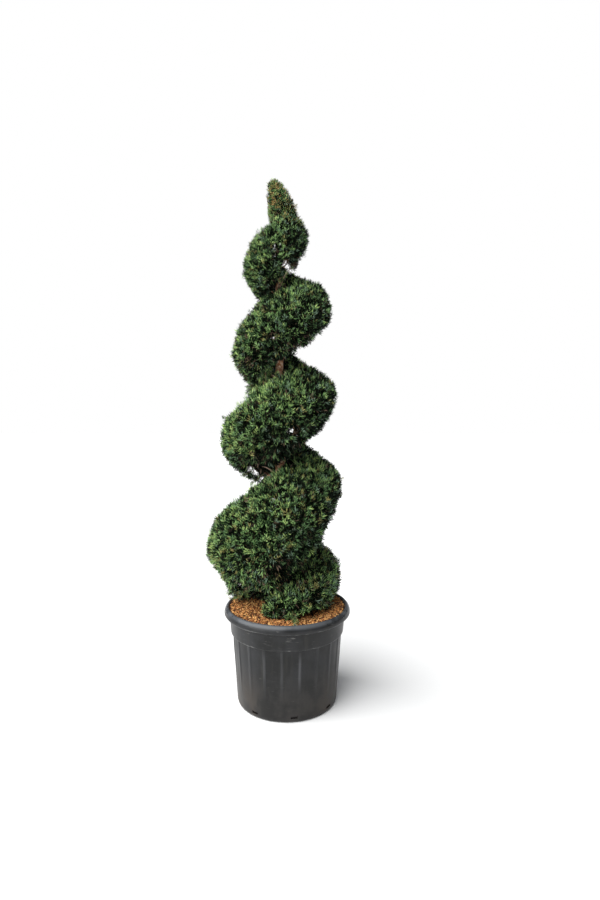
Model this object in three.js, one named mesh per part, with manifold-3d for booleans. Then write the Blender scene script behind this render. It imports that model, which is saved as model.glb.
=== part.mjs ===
// A conifer clipped into a rising spiral, standing in a round black nursery pot filled with bark compost.
// Millimetres, +Z up. The origin is the centre of the pot's flat underside, and the viewer is on the -Y side.
//
// The crown is one helical band of clipped foliage round a bare trunk. Going up, the band turns
// anticlockwise seen from above. A place along it is counted in turns: 0 faces +X, 0.25 faces +Y, and so on.
// The band is divided into masses of about a third of a turn, and a small pointed mass tops the trunk.

import * as THREE from 'three';
import { mergeVertices } from 'three/addons/utils/BufferGeometryUtils.js';
import Module from 'manifold-3d';

const wasm = await Module();
wasm.setup();

const TURN = 2 * Math.PI;
const CLEAR = 0.3; // between two solids that touch

// Pot, measured on its outer skin
const POT_HEIGHT = 440;
const RIM_RADIUS = 310;
const LIP_DROP = 41; // from the rim to the lip's lower edge
const COLLAR_TOP_RADIUS = 284;
const COLLAR_FOOT_RADIUS = 276;
const COLLAR_DROP = 120; // from the rim to the collar's lower edge
const BODY_TOP_RADIUS = 268;
const BODY_FOOT_RADIUS = 240;
const FOOT_RADIUS = 230;
const FOOT_HEIGHT = 14; // of the rounded edge under the body
// The lip's outline: inwards from the rim's radius, and up from the lip's lower edge
const LIP_OUTLINE = [[9, 0], [1, 8], [0, 16], [4, 29], [12, 38], [19, LIP_DROP]];
const BRIM = { inwards: 24, down: 6 }; // the lip's inner edge
const FOOT_ROUND = { inwards: 3, share: 0.4 }; // a point on the rounded edge, and its share of that height
const WALL = 5;
const FLOOR = 7;
const INNER_STEP = 4; // rounding of the inner skin's corners
const EDGE = 1; // half the height of a sharp step in the wall
const BODY_RING = 130; // height of one more ring of corners, between those of the flutes
const POT_SIDES = 60;
const FLUTES = 20;
const FLUTE_DEPTH = 2.5;
const FLUTE_FADE = { from: 60, to: 200 }; // heights between which the flutes grow from nothing
const FLUTE_ANGLE = (-4 / 360) * TURN; // of one ridge, from the front
const DRAIN = { count: 8, first: -0.225, wide: 30, high: 9, deep: 30, height: 24 };

// Soil
const SOIL_TOP = 428; // at the trunk
const SOIL_EDGE = 430; // at the pot's wall
const SOIL_FLAT = 110; // radius of the level middle
const SOIL_INWARDS = 28; // its top edge, from the rim's radius

// Trunk
const TRUNK_FOOT_X = -28;
const TRUNK_LEAN = -36; // sideways, from the soil to the tip
const TRUNK_BEND = 1.3; // 1 leans evenly, more bends towards the top
const TRUNK_SWAY = 7; // front to back
const TRUNK_TOP = 2490;
const TRUNK_FOOT_RADIUS = 30;
const TRUNK_TOP_RADIUS = 6;
const TRUNK_TAPER = 1.6; // 1 tapers evenly, more keeps the foot stout
const TRUNK_SIDES = 16;
const FLARE = { radius: 13, height: 28, lobes: 5, depth: 0.5 }; // the root flare at the soil
const FLARE_RINGS = [0, 10, 25, 50, 90]; // heights above the soil
const SHAFT_RINGS = 12;
const SHAFT_END = 180; // of the last of them below the trunk's top

// Spiral band of foliage
const BAND = { start: -0.43, end: 4.55 };
const BAND_HEIGHT = 491; // of the band's middle at turn 0
const BAND_TILT = 11; // how much higher it runs on the left, and lower on the right
const BAND_PITCH = 512; // rise in the first turn
const BAND_SLOWING = 12; // how much the rise falls off, per turn squared
const BAND_THICKNESS = 0.43; // half its height as a share of the rise in a turn
const BAND_SQUARENESS = 2.3; // 2 gives an ellipse in section
const BAND_ENDS = { start: 0.3, end: 0.45 }; // turns over which its two ends round off
const END_THICKNESS = 0.35; // what is left of its thickness at the very end
const END_REACH = 0.4; // and of its reach from the trunk
const OUTLINE = { foot: 600, top: 2650, radius: 362, fullness: 0.47 }; // fullness 1 is a straight cone
const TUCK = { from: 720, over: 300, depth: 0.35 }; // the outline turns in again over the pot
const SWELLS = [
  { turn: 0.5, size: 0.07, spread: 0.25 },
  { turn: 2.0, size: 0.05, spread: 0.2 },
  { turn: 3.0, size: 0.31, spread: 0.2 },
  { turn: 3.95, size: 0.08, spread: 0.3 },
]; // where the band stands out further
const LOW_BELLY = { turn: 0.5, spread: 0.35, lower: 50, thicker: 0.13 }; // the band sags over the pot
const MASSES = { count: 14, first: -0.35, last: 4.45 };
const MASS_GAP = 0.0012; // turns, at each end of a mass
const FUR = { out: 26, up: 20 }; // how far sprays stand out of a mass's core
const TRUNK_ROOM = 20; // bare space between trunk and core
const CORE_RINGS = 7;
const CORE_ARC = 8; // points over a core's outer edge
const CORE_TURNED_IN = 0.97; // where its edge turns in to the trunk, above and below
const CORE_GAP = 6; // between a core and the pot's rim or the tip's mass
const LEAST_SCALE = 0.6; // of the sprays at the top of the crown
const FULL_SCALE_TO = 1.1; // sprays keep their full size while the outline is at least 1 / 1.1 of its foot

// The space that the twigs and leaves of a mass keep to
const SPACE = { half: 0.49, over: 8, out: 14, fromEnd: 1.5, fromTrunk: 6, fromTip: 3, fromLimb: 3 };
const OVER_SOIL = { least: 3, slope: 0.17, from: 110 }; // rises from that far inside the rim

// Pointed top mass
const TIP = { foot: 2500, top: 2622, radius: 66, narrowing: 0.4, sides: 10, rings: 5, scale: 0.6 };
const TIP_CORE = { least: 5, stem: 20, stemTaper: 0.8 };
const TIP_TWIGS = { rows: 3, columns: 4, up: 0.6, sunk: 2, stagger: 0.5, shift: 0.6 };

// Boughs
const BOUGH_RADIUS = 10;
const BOUGH_TAPER = 0.7;
const BOUGH_SHARE = 0.4; // its radius is no more than this share of the trunk's
const BOUGH_CLIMB = 1; // how far it rises for each step outwards
const BOUGH_ENTRY = { least: 12, share: 0.12 }; // how far out it enters: a least length and a share of the reach
// A core this near the soil is entered through its inner wall, this high above its underside
const BOUGH_LOW = { nearSoil: 100, entry: 55 };
const BOUGH_SIDES = 6;
const STEM_SHOWS = 17; // length of stem outside the core
const STEM_DEPTH = 60; // and inside it

// Twigs and leaves, each leaf standing for a spray of needles
const SEED = 5;
const TWIG_SPACING = 200;
const TWIG = { radius: 9, root: 14, out: 13 }; // its root is sunk in the core, its end is in a leaf
const TWIG_LEAN = { share: 0.6, up: 0.7 }; // how far it leans at random, and its bias upwards
const TWIG_SIZES = { least: 0.8, range: 0.4 };
const LEAF_SIZES = { least: 0.85, range: 0.3 };
const SCATTER = { shift: 0.6, along: 0.85, over: 1.2 }; // random shift, and how the rows are counted
const LEAF = { count: 3, length: 54, width: 22, thick: 6, endRoot: 12, sideRoot: 4, spread: 0.9, turn: 2.4 };

// Seeded random numbers in [0, 1).
function seeded(seed) {
  let state = seed >>> 0;
  return () => {
    state = (state + 0x6d2b79f5) >>> 0;
    let mixed = Math.imul(state ^ (state >>> 15), state | 1);
    mixed ^= mixed + Math.imul(mixed ^ (mixed >>> 7), mixed | 61);
    return ((mixed ^ (mixed >>> 14)) >>> 0) / 4294967296;
  };
}

// A closed geometry as a solid that can be joined and cut.
function solidOf(geometry) {
  const bare = new THREE.BufferGeometry();
  bare.setAttribute('position', geometry.getAttribute('position'));
  bare.setIndex(geometry.index);
  const merged = mergeVertices(bare, 1e-3);
  const corners = merged.index.array;
  const faces = [];
  for (let i = 0; i < corners.length; i += 3) {
    const [a, b, c] = [corners[i], corners[i + 1], corners[i + 2]];
    if (a !== b && b !== c && a !== c) faces.push(a, b, c);
  }
  return new wasm.Manifold(new wasm.Mesh({
    numProp: 3,
    vertProperties: merged.getAttribute('position').array,
    triVerts: new Uint32Array(faces),
  }));
}

// A solid as a named mesh with flat faces.
function meshOf(name, solid, material) {
  const { vertProperties, triVerts } = solid.getMesh();
  const geometry = new THREE.BufferGeometry()
    .setAttribute('position', new THREE.BufferAttribute(vertProperties, 3))
    .setIndex(new THREE.BufferAttribute(triVerts, 1))
    .toNonIndexed();
  geometry.computeVertexNormals();
  const mesh = new THREE.Mesh(geometry, material);
  mesh.name = name;
  return mesh;
}

// A closed solid through rings of points, each ring convex and turning the same way.
function loft(rings) {
  const size = rings[0].length;
  const position = rings.flat().flatMap((point) => point.toArray());
  const index = [];
  for (let ring = 0; ring + 1 < rings.length; ring++) {
    for (let i = 0; i < size; i++) {
      const a = ring * size + i;
      const b = ring * size + ((i + 1) % size);
      index.push(a, b, b + size, a, b + size, a + size);
    }
  }
  const last = (rings.length - 1) * size;
  for (let i = 1; i + 1 < size; i++) {
    index.push(0, i + 1, i, last, last + i, last + i + 1);
  }
  return solidOf(new THREE.BufferGeometry()
    .setAttribute('position', new THREE.Float32BufferAttribute(position, 3))
    .setIndex(index));
}

// Points round a circle, seen from above.
function circle(centre, radius, sides) {
  return Array.from({ length: sides }, (_, i) => {
    const angle = (TURN * i) / sides;
    return new THREE.Vector3(Math.cos(angle), Math.sin(angle), 0).multiplyScalar(radius).add(centre);
  });
}

// Moves a geometry that was made along +Y so that it starts at a point and runs along a direction.
function laid(geometry, start, direction, roll = 0) {
  const along = new THREE.Quaternion().setFromUnitVectors(new THREE.Vector3(0, 1, 0), direction);
  return geometry.rotateY(roll).applyQuaternion(along).translate(start.x, start.y, start.z);
}

// A straight tapering limb.
function limb(start, end, startRadius, endRadius, sides) {
  const length = start.distanceTo(end);
  const geometry = new THREE.CylinderGeometry(endRadius, startRadius, length, sides)
    .translate(0, length / 2, 0);
  return solidOf(laid(geometry, start, end.clone().sub(start).normalize()));
}

// Pot
// Radius of the pot's outer skin below the collar.
function bodyRadius(height) {
  const share = (height - FOOT_HEIGHT) / (POT_HEIGHT - COLLAR_DROP - FOOT_HEIGHT);
  return THREE.MathUtils.lerp(BODY_FOOT_RADIUS, BODY_TOP_RADIUS, share);
}

function potOutside() {
  const lipFoot = POT_HEIGHT - LIP_DROP;
  const collarFoot = POT_HEIGHT - COLLAR_DROP;
  const foot = [
    [0, 0],
    [FOOT_RADIUS, 0],
    [BODY_FOOT_RADIUS - FOOT_ROUND.inwards, FOOT_HEIGHT * FOOT_ROUND.share],
  ];
  const body = [FOOT_HEIGHT, FLUTE_FADE.from, BODY_RING, FLUTE_FADE.to, collarFoot - 2 * EDGE]
    .map((height) => [bodyRadius(height), height]);
  const collar = [
    [COLLAR_FOOT_RADIUS, collarFoot + EDGE],
    [COLLAR_TOP_RADIUS, lipFoot - EDGE],
  ];
  const lip = LIP_OUTLINE.map(([inwards, up]) => [RIM_RADIUS - inwards, lipFoot + up]);
  return [...foot, ...body, ...collar, ...lip];
}

// The pot's inner skin, from its floor to its rim.
function potInside() {
  const collarFoot = POT_HEIGHT - COLLAR_DROP;
  return [
    [BODY_FOOT_RADIUS - WALL - INNER_STEP, FLOOR],
    [BODY_FOOT_RADIUS - WALL, FOOT_HEIGHT + INNER_STEP],
    [BODY_TOP_RADIUS - WALL, collarFoot - INNER_STEP],
    [COLLAR_FOOT_RADIUS - WALL, collarFoot + INNER_STEP + 2 * EDGE],
    [COLLAR_TOP_RADIUS - WALL, POT_HEIGHT - LIP_DROP],
    [RIM_RADIUS - BRIM.inwards, POT_HEIGHT - BRIM.down],
  ];
}

function lathe(profile) {
  const points = profile.map(([radius, height]) => new THREE.Vector2(radius, height));
  return new THREE.LatheGeometry(points, POT_SIDES, FLUTE_ANGLE).rotateX(TURN / 4);
}

function makePot(material) {
  const inside = potInside().reverse();
  const geometry = lathe([...potOutside(), ...inside, [0, FLOOR]]);
  const place = geometry.getAttribute('position');
  const collarFoot = POT_HEIGHT - COLLAR_DROP;
  for (let i = 0; i < place.count; i++) {
    const point = new THREE.Vector3().fromBufferAttribute(place, i);
    const radius = Math.hypot(point.x, point.y);
    const outer = point.z < collarFoot && radius > bodyRadius(point.z) - WALL / 2;
    if (!outer) continue;
    const angle = Math.atan2(point.x, -point.y) - FLUTE_ANGLE;
    const grown = THREE.MathUtils.smoothstep(point.z, FLUTE_FADE.from, FLUTE_FADE.to);
    const moved = radius - FLUTE_DEPTH * grown * (0.5 - 0.5 * Math.cos(FLUTES * angle));
    place.setXY(i, (point.x * moved) / radius, (point.y * moved) / radius);
  }
  let pot = solidOf(geometry);
  for (let i = 0; i < DRAIN.count; i++) {
    const slot = new THREE.BoxGeometry(DRAIN.deep, DRAIN.wide, DRAIN.high)
      .translate(BODY_FOOT_RADIUS, 0, DRAIN.height)
      .rotateZ((DRAIN.first + i / DRAIN.count) * TURN);
    pot = pot.subtract(solidOf(slot));
  }
  return meshOf('pot', pot, material);
}

// The soil fills the pot, clear of its floor and wall.
function makeSoil(material) {
  const [floorEdge, ...wall] = potInside().slice(0, -1);
  const profile = [
    [0, floorEdge[1] + CLEAR],
    [floorEdge[0] - CLEAR, floorEdge[1] + CLEAR],
    ...wall.map(([radius, height]) => [radius - CLEAR, height + CLEAR / 2]),
    [RIM_RADIUS - SOIL_INWARDS, SOIL_EDGE],
    [SOIL_FLAT, SOIL_TOP],
    [0, SOIL_TOP],
  ];
  return meshOf('soil', solidOf(lathe(profile)), material);
}

// Trunk
function trunkAxis(z) {
  const rise = Math.max(z - SOIL_TOP, 0) / (TIP.top - SOIL_TOP);
  const x = TRUNK_FOOT_X + TRUNK_LEAN * rise ** TRUNK_BEND;
  const y = TRUNK_SWAY * Math.sin(TURN * rise);
  return new THREE.Vector3(x, y, z);
}

// A point round the trunk's axis.
function aroundTrunk(turn, radius, z) {
  const angle = TURN * turn;
  return trunkAxis(z).add(new THREE.Vector3(Math.cos(angle), Math.sin(angle), 0).multiplyScalar(radius));
}

function trunkRadius(z) {
  const rise = THREE.MathUtils.clamp((z - SOIL_TOP) / (TRUNK_TOP - SOIL_TOP), 0, 1);
  return THREE.MathUtils.lerp(TRUNK_FOOT_RADIUS, TRUNK_TOP_RADIUS, rise ** TRUNK_TAPER);
}

const flareRadius = (z) => FLARE.radius * Math.exp((SOIL_TOP - z) / FLARE.height);

// The furthest that the trunk's surface lies from its axis.
const trunkReach = (z) => trunkRadius(z) + flareRadius(z) * (1 + FLARE.depth);

// The trunk's solid, or one grown by an extra radius.
function trunkSolid(extra = 0) {
  const foot = SOIL_TOP + CLEAR;
  const heights = FLARE_RINGS.map((height) => foot + height);
  const shaftFoot = heights.at(-1);
  const shaft = TRUNK_TOP - SHAFT_END - shaftFoot;
  for (let ring = 1; ring <= SHAFT_RINGS; ring++) heights.push(shaftFoot + (shaft * ring) / SHAFT_RINGS);
  heights.push(TRUNK_TOP);
  return loft(heights.map((z) => Array.from({ length: TRUNK_SIDES }, (_, i) => {
    const turn = i / TRUNK_SIDES;
    const flare = flareRadius(z) * (1 + FLARE.depth * Math.cos(FLARE.lobes * TURN * turn));
    return aroundTrunk(turn, trunkRadius(z) + flare + extra, z);
  })));
}

// Band of foliage
const belly = (turn) => Math.exp(-(((turn - LOW_BELLY.turn) / LOW_BELLY.spread) ** 2));

function bandMiddle(turn) {
  const climb = BAND_PITCH * turn - BAND_SLOWING * turn * turn;
  const tilted = BAND_TILT * Math.cos(TURN * turn);
  return BAND_HEIGHT + climb - tilted - LOW_BELLY.lower * belly(turn);
}

const bandRise = (turn) => BAND_PITCH - 2 * BAND_SLOWING * turn;

// 0 at the band's ends, 1 all along its middle.
function bandFullness(turn) {
  const inwards = Math.min((turn - BAND.start) / BAND_ENDS.start, (BAND.end - turn) / BAND_ENDS.end);
  return Math.sqrt(1 - (1 - THREE.MathUtils.clamp(inwards, 0, 1)) ** 2);
}

// Half the height of the band.
function bandHalf(turn) {
  const share = BAND_THICKNESS + LOW_BELLY.thicker * belly(turn);
  return share * bandRise(turn) * THREE.MathUtils.lerp(END_THICKNESS, 1, bandFullness(turn));
}

// Radius of the clipped outline at a height, before the band's own swells and ends.
function coneRadius(z) {
  const rise = THREE.MathUtils.clamp((z - OUTLINE.foot) / (OUTLINE.top - OUTLINE.foot), -0.5, 1);
  const tucked = 1 - TUCK.depth * Math.max((TUCK.from - z) / TUCK.over, 0) ** 2;
  return OUTLINE.radius * (1 - rise) ** OUTLINE.fullness * tucked;
}

// Radius of the clipped outline.
function outlineRadius(turn, z) {
  let swell = 1;
  for (const { turn: at, size, spread } of SWELLS) swell += size * Math.exp(-(((turn - at) / spread) ** 2));
  return coneRadius(z) * swell * THREE.MathUtils.lerp(END_REACH, 1, bandFullness(turn));
}

// Size of the sprays: full at the bottom of the crown, smaller towards its top.
function sprayScale(turn) {
  const reach = coneRadius(bandMiddle(turn)) / OUTLINE.radius;
  return THREE.MathUtils.clamp(FULL_SCALE_TO * reach, LEAST_SCALE, 1);
}

const coreHalf = (turn) => bandHalf(turn) - FUR.up * sprayScale(turn);

// Lowest and highest place over the core's edge, from -1 under the band to 1 on top of it. The core
// stops short of the soil and of the tip's mass.
function coreSides(turn) {
  const half = coreHalf(turn);
  const floor = (POT_HEIGHT + CORE_GAP - bandMiddle(turn)) / half;
  const ceiling = (TIP.foot - CORE_GAP - bandMiddle(turn)) / half;
  return [Math.max(floor, -CORE_TURNED_IN), Math.min(ceiling, CORE_TURNED_IN)];
}

// A point on the core's skin.
function corePoint(turn, side) {
  const z = bandMiddle(turn) + coreHalf(turn) * side;
  const inner = trunkReach(z) + TRUNK_ROOM;
  const outer = outlineRadius(turn, z) - FUR.out * sprayScale(turn);
  const bulge = (1 - Math.abs(side) ** BAND_SQUARENESS) ** (1 / BAND_SQUARENESS);
  return aroundTrunk(turn, inner + (outer - inner) * bulge, z);
}

// The direction that faces away from the core there.
function coreNormal(turn, side) {
  const step = 0.01;
  const along = corePoint(turn + step, side).sub(corePoint(turn - step, side));
  const over = corePoint(turn, side + step).sub(corePoint(turn, side - step));
  return along.cross(over).normalize();
}

function coreRing(turn) {
  const [low, high] = coreSides(turn);
  const arc = Array.from({ length: CORE_ARC }, (_, i) => {
    const share = 0.5 - 0.5 * Math.cos((Math.PI * i) / (CORE_ARC - 1));
    return corePoint(turn, low + (high - low) * share);
  });
  const inner = (point) => aroundTrunk(turn, trunkReach(point.z) + TRUNK_ROOM, point.z);
  return [inner(arc[0]), ...arc, inner(arc[CORE_ARC - 1])].reverse();
}

// Radius of the space that belongs to the tip's mass.
function tipRadius(z) {
  const rise = THREE.MathUtils.clamp((z - TIP.foot) / (TIP.top - TIP.foot), 0, 1);
  return TIP.radius * Math.sqrt(1 - rise ** 3) * (1 - TIP.narrowing * rise);
}

const tipCoreRadius = (z) => Math.max(tipRadius(z) - FUR.out * TIP.scale, TIP_CORE.least);

// Foliage stays above the soil, and rises to pass over the pot's rim.
function lowestFoliage(point) {
  const past = Math.max(Math.hypot(point.x, point.y) - RIM_RADIUS + OVER_SOIL.from, 0);
  return SOIL_TOP + OVER_SOIL.least + OVER_SOIL.slope * past;
}

// Whether a point lies in the space of the mass between two places along the band.
function inBandSpace(point, first, last) {
  const axis = trunkAxis(point.z);
  const radius = Math.hypot(point.x - axis.x, point.y - axis.y);
  const middle = (first + last) / 2;
  const facing = Math.atan2(point.y - axis.y, point.x - axis.x) / TURN;
  const turn = facing + Math.round(middle - facing);
  const fromEnd = ((last - first) / 2 - Math.abs(turn - middle)) * TURN * radius;
  const fromMiddle = Math.abs(point.z - bandMiddle(turn));
  const inTip = point.z > TIP.foot - SPACE.fromTip && radius < tipRadius(point.z) + SPACE.fromTip;
  return fromEnd > SPACE.fromEnd
    && fromMiddle < Math.max(SPACE.half * bandRise(turn), bandHalf(turn) + SPACE.over)
    && radius < outlineRadius(turn, point.z) + SPACE.out
    && radius > trunkReach(point.z) + SPACE.fromTrunk
    && point.z > lowestFoliage(point)
    && !inTip;
}

function inTipSpace(point) {
  const axis = trunkAxis(point.z);
  const radius = Math.hypot(point.x - axis.x, point.y - axis.y);
  return point.z > TIP.foot && point.z < TIP.top && radius < tipRadius(point.z);
}

// The bough that carries a mass, and the mass's own stem that carries it on. It rises from the trunk to
// the core's underside, or to its inner wall where the core lies low over the soil.
function boughLine(first, last) {
  const turn = (first + last) / 2;
  const middle = bandMiddle(turn);
  const [low] = coreSides(turn);
  const underside = middle + coreHalf(turn) * low;
  const grounded = underside < SOIL_TOP + BOUGH_LOW.nearSoil;
  const entryHeight = grounded ? underside + BOUGH_LOW.entry : underside;
  const hanging = BOUGH_ENTRY.least + BOUGH_ENTRY.share * outlineRadius(turn, entryHeight);
  const outwards = grounded ? TRUNK_ROOM : hanging;
  const entryRadius = trunkReach(entryHeight) + outwards;
  const inside = trunkRadius(entryHeight) / 2;
  const footHeight = entryHeight - BOUGH_CLIMB * (entryRadius - inside);
  const foot = aroundTrunk(turn, inside, footHeight);
  const entry = aroundTrunk(turn, entryRadius, entryHeight);
  const along = entry.clone().sub(foot).normalize();
  const radius = Math.min(BOUGH_RADIUS, BOUGH_SHARE * trunkRadius(footHeight));
  return {
    foot,
    radius,
    tip: entry.clone().addScaledVector(along, -STEM_SHOWS),
    stemStart: entry.clone().addScaledVector(along, CLEAR - STEM_SHOWS),
    stemEnd: entry.clone().addScaledVector(along, STEM_DEPTH),
  };
}

function distanceToLine(point, start, end) {
  const line = new THREE.Line3(start, end);
  return line.closestPointToPoint(point, true, new THREE.Vector3()).distanceTo(point);
}

// A flat leaf of eight faces, pointed at both ends, and its corners outside the twig.
function makeLeaf(start, direction, roll, sunk, scale) {
  const length = LEAF.length * scale;
  const geometry = new THREE.OctahedronGeometry(1)
    .scale((LEAF.width * scale) / 2, length / 2, (LEAF.thick * scale) / 2)
    .translate(0, length / 2 - sunk, 0);
  const solid = solidOf(laid(geometry, start, direction, roll));
  const place = geometry.getAttribute('position');
  const corners = Array.from({ length: place.count }, (_, i) => new THREE.Vector3().fromBufferAttribute(place, i))
    .filter((corner) => corner.distanceTo(start) > length / 4);
  return { solid, corners };
}

// Twigs that branch from the mass's stem. The core hides them up to their last part, which stands out of
// it and bears the leaves: one carries on from the twig's end, and the others branch off its sides.
// Whatever would leave the mass's space, or come near a limb, is skipped.
function growTwigs(starts, inSpace, limbs, random, scale) {
  const free = (point) => inSpace(point)
    && limbs.every(({ start, end, radius }) => distanceToLine(point, start, end) > radius + SPACE.fromLimb);
  const upright = new THREE.Vector3(0, 1, 0);
  const grown = [];
  for (const { point, normal } of starts) {
    const lean = new THREE.Vector3(random() - 0.5, random() - 0.5, random() * TWIG_LEAN.up);
    const direction = normal.clone().addScaledVector(lean, TWIG_LEAN.share).normalize();
    const facing = new THREE.Quaternion().setFromUnitVectors(upright, direction);
    const out = TWIG.out * scale * (TWIG_SIZES.least + TWIG_SIZES.range * random());
    const root = point.clone().addScaledVector(direction, -TWIG.root);
    const tip = point.clone().addScaledVector(direction, out);
    const firstRoll = random() * TURN;
    if (!free(tip)) continue;
    grown.push(limb(root, tip.clone().addScaledVector(direction, LEAF.endRoot), TWIG.radius, 0, 3));
    for (let i = 0; i < LEAF.count; i++) {
      const share = (i + 1) / LEAF.count;
      const roll = firstRoll + i * LEAF.turn;
      const sideways = new THREE.Vector3(Math.cos(roll), 0, -Math.sin(roll)).applyQuaternion(facing);
      const spread = share < 1 ? Math.tan(LEAF.spread) : 0;
      const leafDirection = direction.clone().addScaledVector(sideways, spread).normalize();
      const start = tip.clone().addScaledVector(direction, (share - 1) * out);
      const sunk = share < 1 ? LEAF.sideRoot : LEAF.endRoot;
      const leafScale = scale * (LEAF_SIZES.least + LEAF_SIZES.range * random());
      const leaf = makeLeaf(start, leafDirection, roll, sunk, leafScale);
      if (leaf.corners.every(free)) grown.push(leaf.solid);
    }
  }
  return grown;
}

// Places over a core's skin, evenly spaced and then scattered a little by seed.
function scatter(first, last, random) {
  const middle = (first + last) / 2;
  const spacing = TWIG_SPACING * Math.sqrt(sprayScale(middle));
  const radius = outlineRadius(middle, bandMiddle(middle)) - FUR.out * sprayScale(middle);
  const deep = radius - trunkReach(bandMiddle(middle)) - TRUNK_ROOM;
  const columns = Math.max(2, Math.round(((last - first) * TURN * radius * SCATTER.along) / spacing));
  const rows = Math.max(3, Math.round((2 * coreHalf(middle) + SCATTER.over * deep) / spacing));
  const starts = [];
  for (let column = 0; column < columns; column++) {
    for (let row = 0; row < rows; row++) {
      const shiftAlong = 0.5 + SCATTER.shift * (random() - 0.5);
      const shiftOver = 0.5 + SCATTER.shift * (random() - 0.5);
      const turn = first + ((last - first) * (column + shiftAlong)) / columns;
      const [low, high] = coreSides(turn);
      const over = (Math.PI * (row + shiftOver)) / rows;
      const side = low + (high - low) * (0.5 - 0.5 * Math.cos(over));
      starts.push({ point: corePoint(turn, side), normal: coreNormal(turn, side) });
    }
  }
  return starts;
}

function makeMass(name, first, last, boughs, random, material) {
  const rings = Array.from({ length: CORE_RINGS }, (_, i) => {
    return coreRing(first + ((last - first) * i) / (CORE_RINGS - 1));
  });
  const bough = boughLine(first, last);
  const tipRadius = bough.radius * BOUGH_TAPER;
  const stem = limb(bough.stemStart, bough.stemEnd, tipRadius, tipRadius, BOUGH_SIDES);
  const inSpace = (point) => inBandSpace(point, first, last);
  const scale = sprayScale((first + last) / 2);
  const twigs = growTwigs(scatter(first, last, random), inSpace, boughs, random, scale);
  return meshOf(name, wasm.Manifold.union([loft(rings), stem, ...twigs]), material);
}

// The pointed mass on top of the trunk, whose stem carries the trunk on.
function makeTip(name, random, material) {
  const foot = TIP.foot + CORE_GAP;
  const top = TIP.top - FUR.out * TIP.scale;
  const rings = Array.from({ length: TIP.rings }, (_, i) => {
    const z = THREE.MathUtils.lerp(foot, top, Math.sin((Math.PI / 2) * (i / (TIP.rings - 1))));
    return circle(trunkAxis(z), tipCoreRadius(z), TIP.sides);
  });
  const stemStart = trunkAxis(TRUNK_TOP + CLEAR);
  const stemEnd = trunkAxis(foot + TIP_CORE.stem);
  const stem = limb(stemStart, stemEnd, TRUNK_TOP_RADIUS, TRUNK_TOP_RADIUS * TIP_CORE.stemTaper, BOUGH_SIDES);
  const starts = [];
  for (let row = 0; row < TIP_TWIGS.rows; row++) {
    for (let column = 0; column < TIP_TWIGS.columns; column++) {
      const over = row + 0.5 + TIP_TWIGS.shift * (random() - 0.5);
      const z = THREE.MathUtils.lerp(foot, top, over / TIP_TWIGS.rows);
      const turn = (column + TIP_TWIGS.stagger * (row + random())) / TIP_TWIGS.columns;
      const normal = new THREE.Vector3(Math.cos(TURN * turn), Math.sin(TURN * turn), TIP_TWIGS.up).normalize();
      starts.push({ point: aroundTrunk(turn, tipCoreRadius(z) - TIP_TWIGS.sunk, z), normal });
    }
  }
  starts.push({ point: trunkAxis(top), normal: new THREE.Vector3(0, 0, 1) });
  const twigs = growTwigs(starts, inTipSpace, [], random, TIP.scale);
  return meshOf(name, wasm.Manifold.union([loft(rings), stem, ...twigs]), material);
}

const foliageMaterial = new THREE.MeshStandardMaterial({ color: 0x3f5c2c, roughness: 0.8, metalness: 0 });
const barkMaterial = new THREE.MeshStandardMaterial({ color: 0x8a5a3a, roughness: 0.9, metalness: 0 });
const potMaterial = new THREE.MeshStandardMaterial({ color: 0x33363a, roughness: 0.5, metalness: 0 });
const soilMaterial = new THREE.MeshStandardMaterial({ color: 0x8c4f28, roughness: 1, metalness: 0 });

const group = new THREE.Group();
group.add(makePot(potMaterial));
group.add(makeSoil(soilMaterial));
group.add(meshOf('trunk', trunkSolid(), barkMaterial));

const sectors = Array.from({ length: MASSES.count }, (_, i) => {
  const step = (MASSES.last - MASSES.first) / MASSES.count;
  return [MASSES.first + i * step + MASS_GAP, MASSES.first + (i + 1) * step - MASS_GAP];
});
const boughs = sectors.map(([first, last]) => {
  const { foot, tip, radius } = boughLine(first, last);
  return { start: foot, end: tip, radius };
});
const grownTrunk = trunkSolid(CLEAR * 1.05);
boughs.forEach(({ start, end, radius }, i) => {
  const name = `bough_${String(i + 1).padStart(2, '0')}`;
  const bough = limb(start, end, radius, radius * BOUGH_TAPER, BOUGH_SIDES).subtract(grownTrunk);
  group.add(meshOf(name, bough, barkMaterial));
});
sectors.forEach(([first, last], i) => {
  const name = `foliage_${String(i + 1).padStart(2, '0')}`;
  group.add(makeMass(name, first, last, boughs, seeded(SEED + i), foliageMaterial));
});

group.add(makeTip('foliage_tip', seeded(SEED + MASSES.count), foliageMaterial));

export default group;
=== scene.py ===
"""A conifer clipped into a rising spiral, in a round black nursery pot filled with bark compost.

Metres, +Z up. The origin is the centre of the pot's flat underside, and the viewer is on the -Y side.
The crown is one helical band of clipped foliage round a bare trunk. Going up, the band turns
anticlockwise seen from above. A place along it is counted in turns: 0 faces +X, 0.25 faces +Y, and so
on. Boughs rise from the trunk into the band. Each carries a spine, branches, branchlets and twigs, and
every twig ends in a spray of needles that reaches the clipped outline.
"""

import math

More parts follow.
